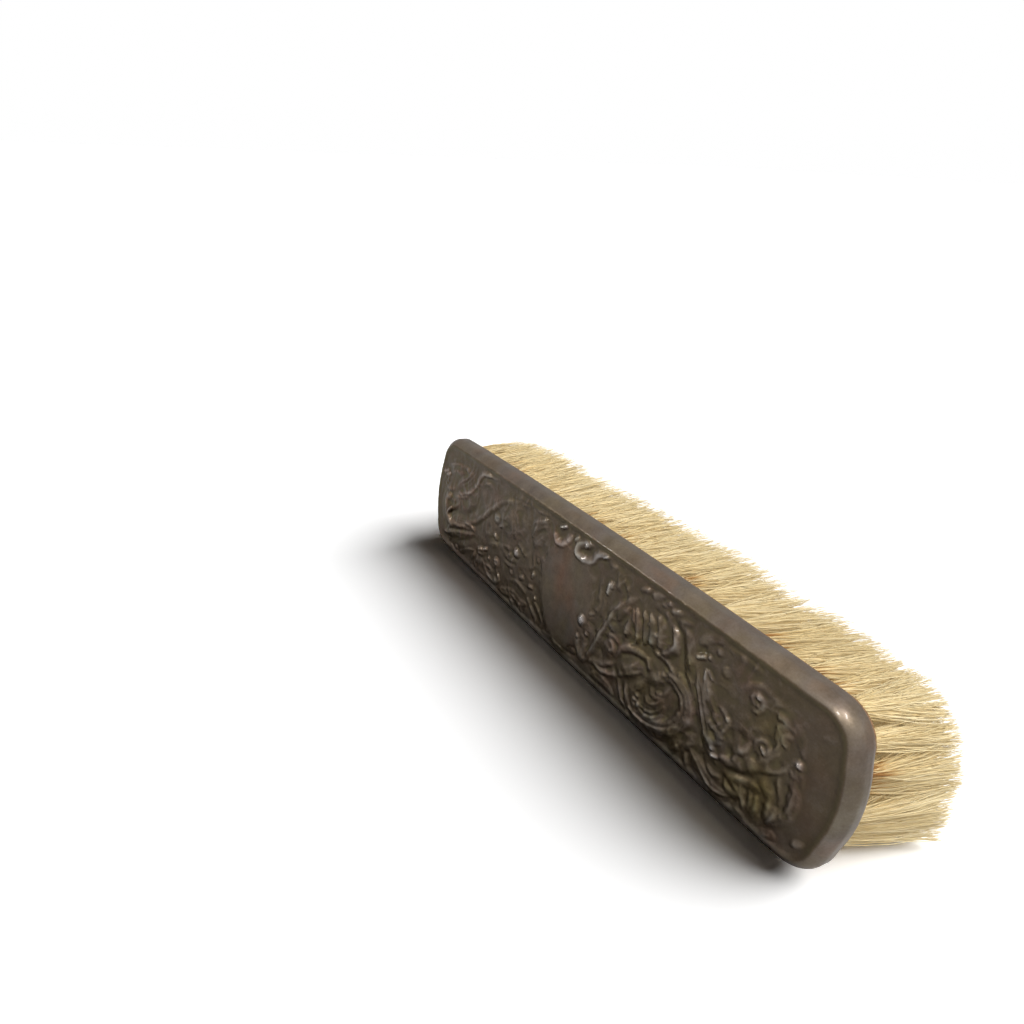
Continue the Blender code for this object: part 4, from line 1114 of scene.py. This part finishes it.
def wood(name, dark, light, rough):
    """Close-grained wood, polished, with its grain along the brush."""
    material, tree = new_tree(name)
    grain = noise(tree, object_coordinates(tree, (14, 260, 260)), 1.0, 8.0, 0.62, 1.6)
    pores = noise(tree, object_coordinates(tree, (120, 3200, 3200)), 1.0, 2.0)
    middle = tuple((a + b) / 2 for a, b in zip(dark, light))
    colour = ramp(tree, grain, ((0.28, dark), (0.5, middle), (0.74, light)))
    colour = tinted(tree, colour, ramp(tree, pores, ((0.34, (0.55, 0.5, 0.45)), (0.46, (1.0, 1.0, 1.0)))))
    gloss = scaled(tree, grain, 0.25, rough)
    finish_tree(tree, add(tree, "BsdfPrincipled", Base_Color=colour, Roughness=gloss,
                          Normal=bumps(tree, 0.25, 0.0001, pores)))
    return material


def hard_pitch():
    """Brown-black pitch, poured and lumpy."""
    material, tree = new_tree("hard_pitch")
    place = object_coordinates(tree)
    lumps = noise(tree, place, 420.0, 6.0)
    grit = noise(tree, place, 2600.0, 2.0)
    colour = ramp(tree, lumps, ((0.3, (0.018, 0.012, 0.009)), (0.7, (0.060, 0.042, 0.030))))
    gloss = scaled(tree, lumps, 0.4, 0.35)
    finish_tree(tree, add(tree, "BsdfPrincipled", Base_Color=colour, Roughness=gloss,
                          Normal=bumps(tree, 0.5, 0.0002, scaled(tree, lumps, 1.0, grit))))
    return material


def drawn_brass():
    """Brass wire: lines along it from the draw plate, dulled in patches."""
    material, tree = new_tree("drawn_brass")
    lines = noise(tree, object_coordinates(tree, (30, 9000, 9000)), 1.0, 3.0)
    dull = noise(tree, object_coordinates(tree), 500.0, 4.0)
    colour = ramp(tree, dull, ((0.35, (0.30, 0.19, 0.07)), (0.6, (0.72, 0.52, 0.23))))
    finish_tree(tree, add(tree, "BsdfPrincipled", Base_Color=colour, Metallic=1.0,
                          Roughness=scaled(tree, lines, 0.3, 0.2), Normal=bumps(tree, 0.2, 0.00005, lines)))
    return material


def dress_cad_nodes():
    """The pieces whose CAD shape is right keep it and take a finish."""
    brass = drawn_brass()
    finishes = {
        "pitch_bed": hard_pitch(),
        "cover_board": wood("cover_board_wood", (0.11, 0.052, 0.022), (0.27, 0.145, 0.066), 0.38),
        "bristle_stock": wood("bristle_stock_wood", (0.15, 0.075, 0.032), (0.34, 0.19, 0.09), 0.32),
        **{f"draw_wire_{row + 1}": brass for row in range(ROWS)},
    }
    for node, material in finishes.items():
        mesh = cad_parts[node].data
        mesh.materials.clear()
        mesh.materials.append(material)


# --- Floor, light and camera ---------------------------------------------------------------------

def build_floor():
    """A plain white floor, which keeps the brush's shadow."""
    mesh = bpy.data.meshes.new("floor")
    corners = [(x * FLOOR_REACH, y * FLOOR_REACH, 0) for x, y in ((-1, -1), (1, -1), (1, 1), (-1, 1))]
    mesh.from_pydata(corners, [], [(0, 1, 2, 3)])
    floor = bpy.data.objects.new("floor", mesh)
    bpy.context.scene.collection.objects.link(floor)
    material, tree = new_tree("floor_white")
    path = add(tree, "LightPath").outputs
    colour = mix_colour(tree, path["Is Glossy Ray"], (FLOOR_LIT,) * 3, (FLOOR_MIRRORED,) * 3)
    colour = mix_colour(tree, path["Is Camera Ray"], colour, (FLOOR_SEEN,) * 3)
    finish_tree(tree, add(tree, "BsdfDiffuse", Color=colour))
    mesh.materials.append(material)


def build_world():
    """Even studio light from all round, white where the camera sees past the floor. The silver mirrors
    it brighter overhead and on one side."""
    world = bpy.data.worlds.new("studio")
    world.use_nodes = True
    tree = world.node_tree
    tree.nodes.clear()
    path = add(tree, "LightPath").outputs
    toward = add(tree, "SeparateXYZ", Vector=add(tree, "TexCoord").outputs["Generated"]).outputs
    overhead = add(tree, "MapRange", Value=toward["Z"], From_Min=0.0, From_Max=1.0,
                   To_Min=WORLD_MIRRORED[0], To_Max=WORLD_MIRRORED[1]).outputs[0]
    beside = add(tree, "MapRange", Value=toward["X"], From_Min=-1.0, From_Max=1.0,
                 To_Min=WORLD_BESIDE[0], To_Max=WORLD_BESIDE[1]).outputs[0]
    mirrored = scaled(tree, path["Is Glossy Ray"], scaled(tree, overhead, beside))
    seen = math_node(tree, "MAXIMUM", mirrored, path["Is Camera Ray"])
    strength = math_node(tree, "MAXIMUM", seen, WORLD_FILL)
    background = add(tree, "Background", Color=(1.0, 1.0, 1.0), Strength=strength)
    output = tree.nodes.new("ShaderNodeOutputWorld")
    tree.links.new(background.outputs[0], output.inputs["Surface"])
    bpy.context.scene.world = world


def place_lamp(name, kind, energy, place):
    """A lamp that shines from its place towards the middle of the brush."""
    lamp = bpy.data.lights.new(name, kind)
    lamp.energy = energy
    made = bpy.data.objects.new(name, lamp)
    made.location = place
    made.rotation_euler = (Vector(place) - Vector(LAMP_TARGET)).to_track_quat("Z", "Y").to_euler()
    bpy.context.scene.collection.objects.link(made)
    return made


def add_sun(name, energy, place, spread):
    """A soft sun, spread over the given degrees: it lights, and the silver does not mirror it."""
    made = place_lamp(name, "SUN", energy, place)
    made.data.angle = math.radians(spread)
    made.visible_glossy = False
    return made


def add_card(name, energy, place, size):
    """A small oval card that only the silver mirrors."""
    made = place_lamp(name, "AREA", energy, place)
    made.data.shape = "ELLIPSE"
    made.data.size, made.data.size_y = size
    made.visible_diffuse = False


def build_lights(brush):
    """A high key light, a weak light on the bristles alone, and three cards for the silver's gleams."""
    add_sun("key", 4.4, (0.68, 1.00, 1.28), 50)
    fill = add_sun("bristle_fill", 1.3, (1.0, -0.25, 0.5), 60)
    fill.data.use_shadow = False
    lit = bpy.data.collections.new("bristle_fill_lights")
    for piece in brush:
        lit.objects.link(piece)
    fill.light_linking.receiver_collection = lit
    add_card("front_card", 1.1, (0.05, -0.56, 0.70), (0.05, 0.05))
    add_card("side_card", 0.6, (-0.62, -0.70, 0.30), (0.06, 0.06))
    add_card("end_card", 1.3, (0.28, -0.30, 0.70), (0.03, 0.20))


def build_camera():
    """The photo's camera, as fitted to the brush's outline and to the bottle beside it."""
    camera = bpy.data.objects.new("camera", bpy.data.cameras.new("camera"))
    camera.location = (0.13924154, -0.12448024, 0.12862163)
    camera.rotation_euler = [math.radians(a) for a in (64.64527, -2.31897, 59.28707)]
    camera.data.lens = 27.0738
    camera.data.sensor_width = 36.0
    camera.data.clip_start = 0.005
    bpy.context.scene.collection.objects.link(camera)
    bpy.context.scene.camera = camera


POSE, LENGTH, WIDTH = brush_pose()

build_silver_back(tarnished_silver())
bristle = natural_bristle()
bristles = [build_bristle_row(row, bristle) for row in range(ROWS)]
dress_cad_nodes()

build_floor()
build_world()
build_lights(bristles)
build_camera()
bpy.context.scene.view_settings.view_transform = "Standard"
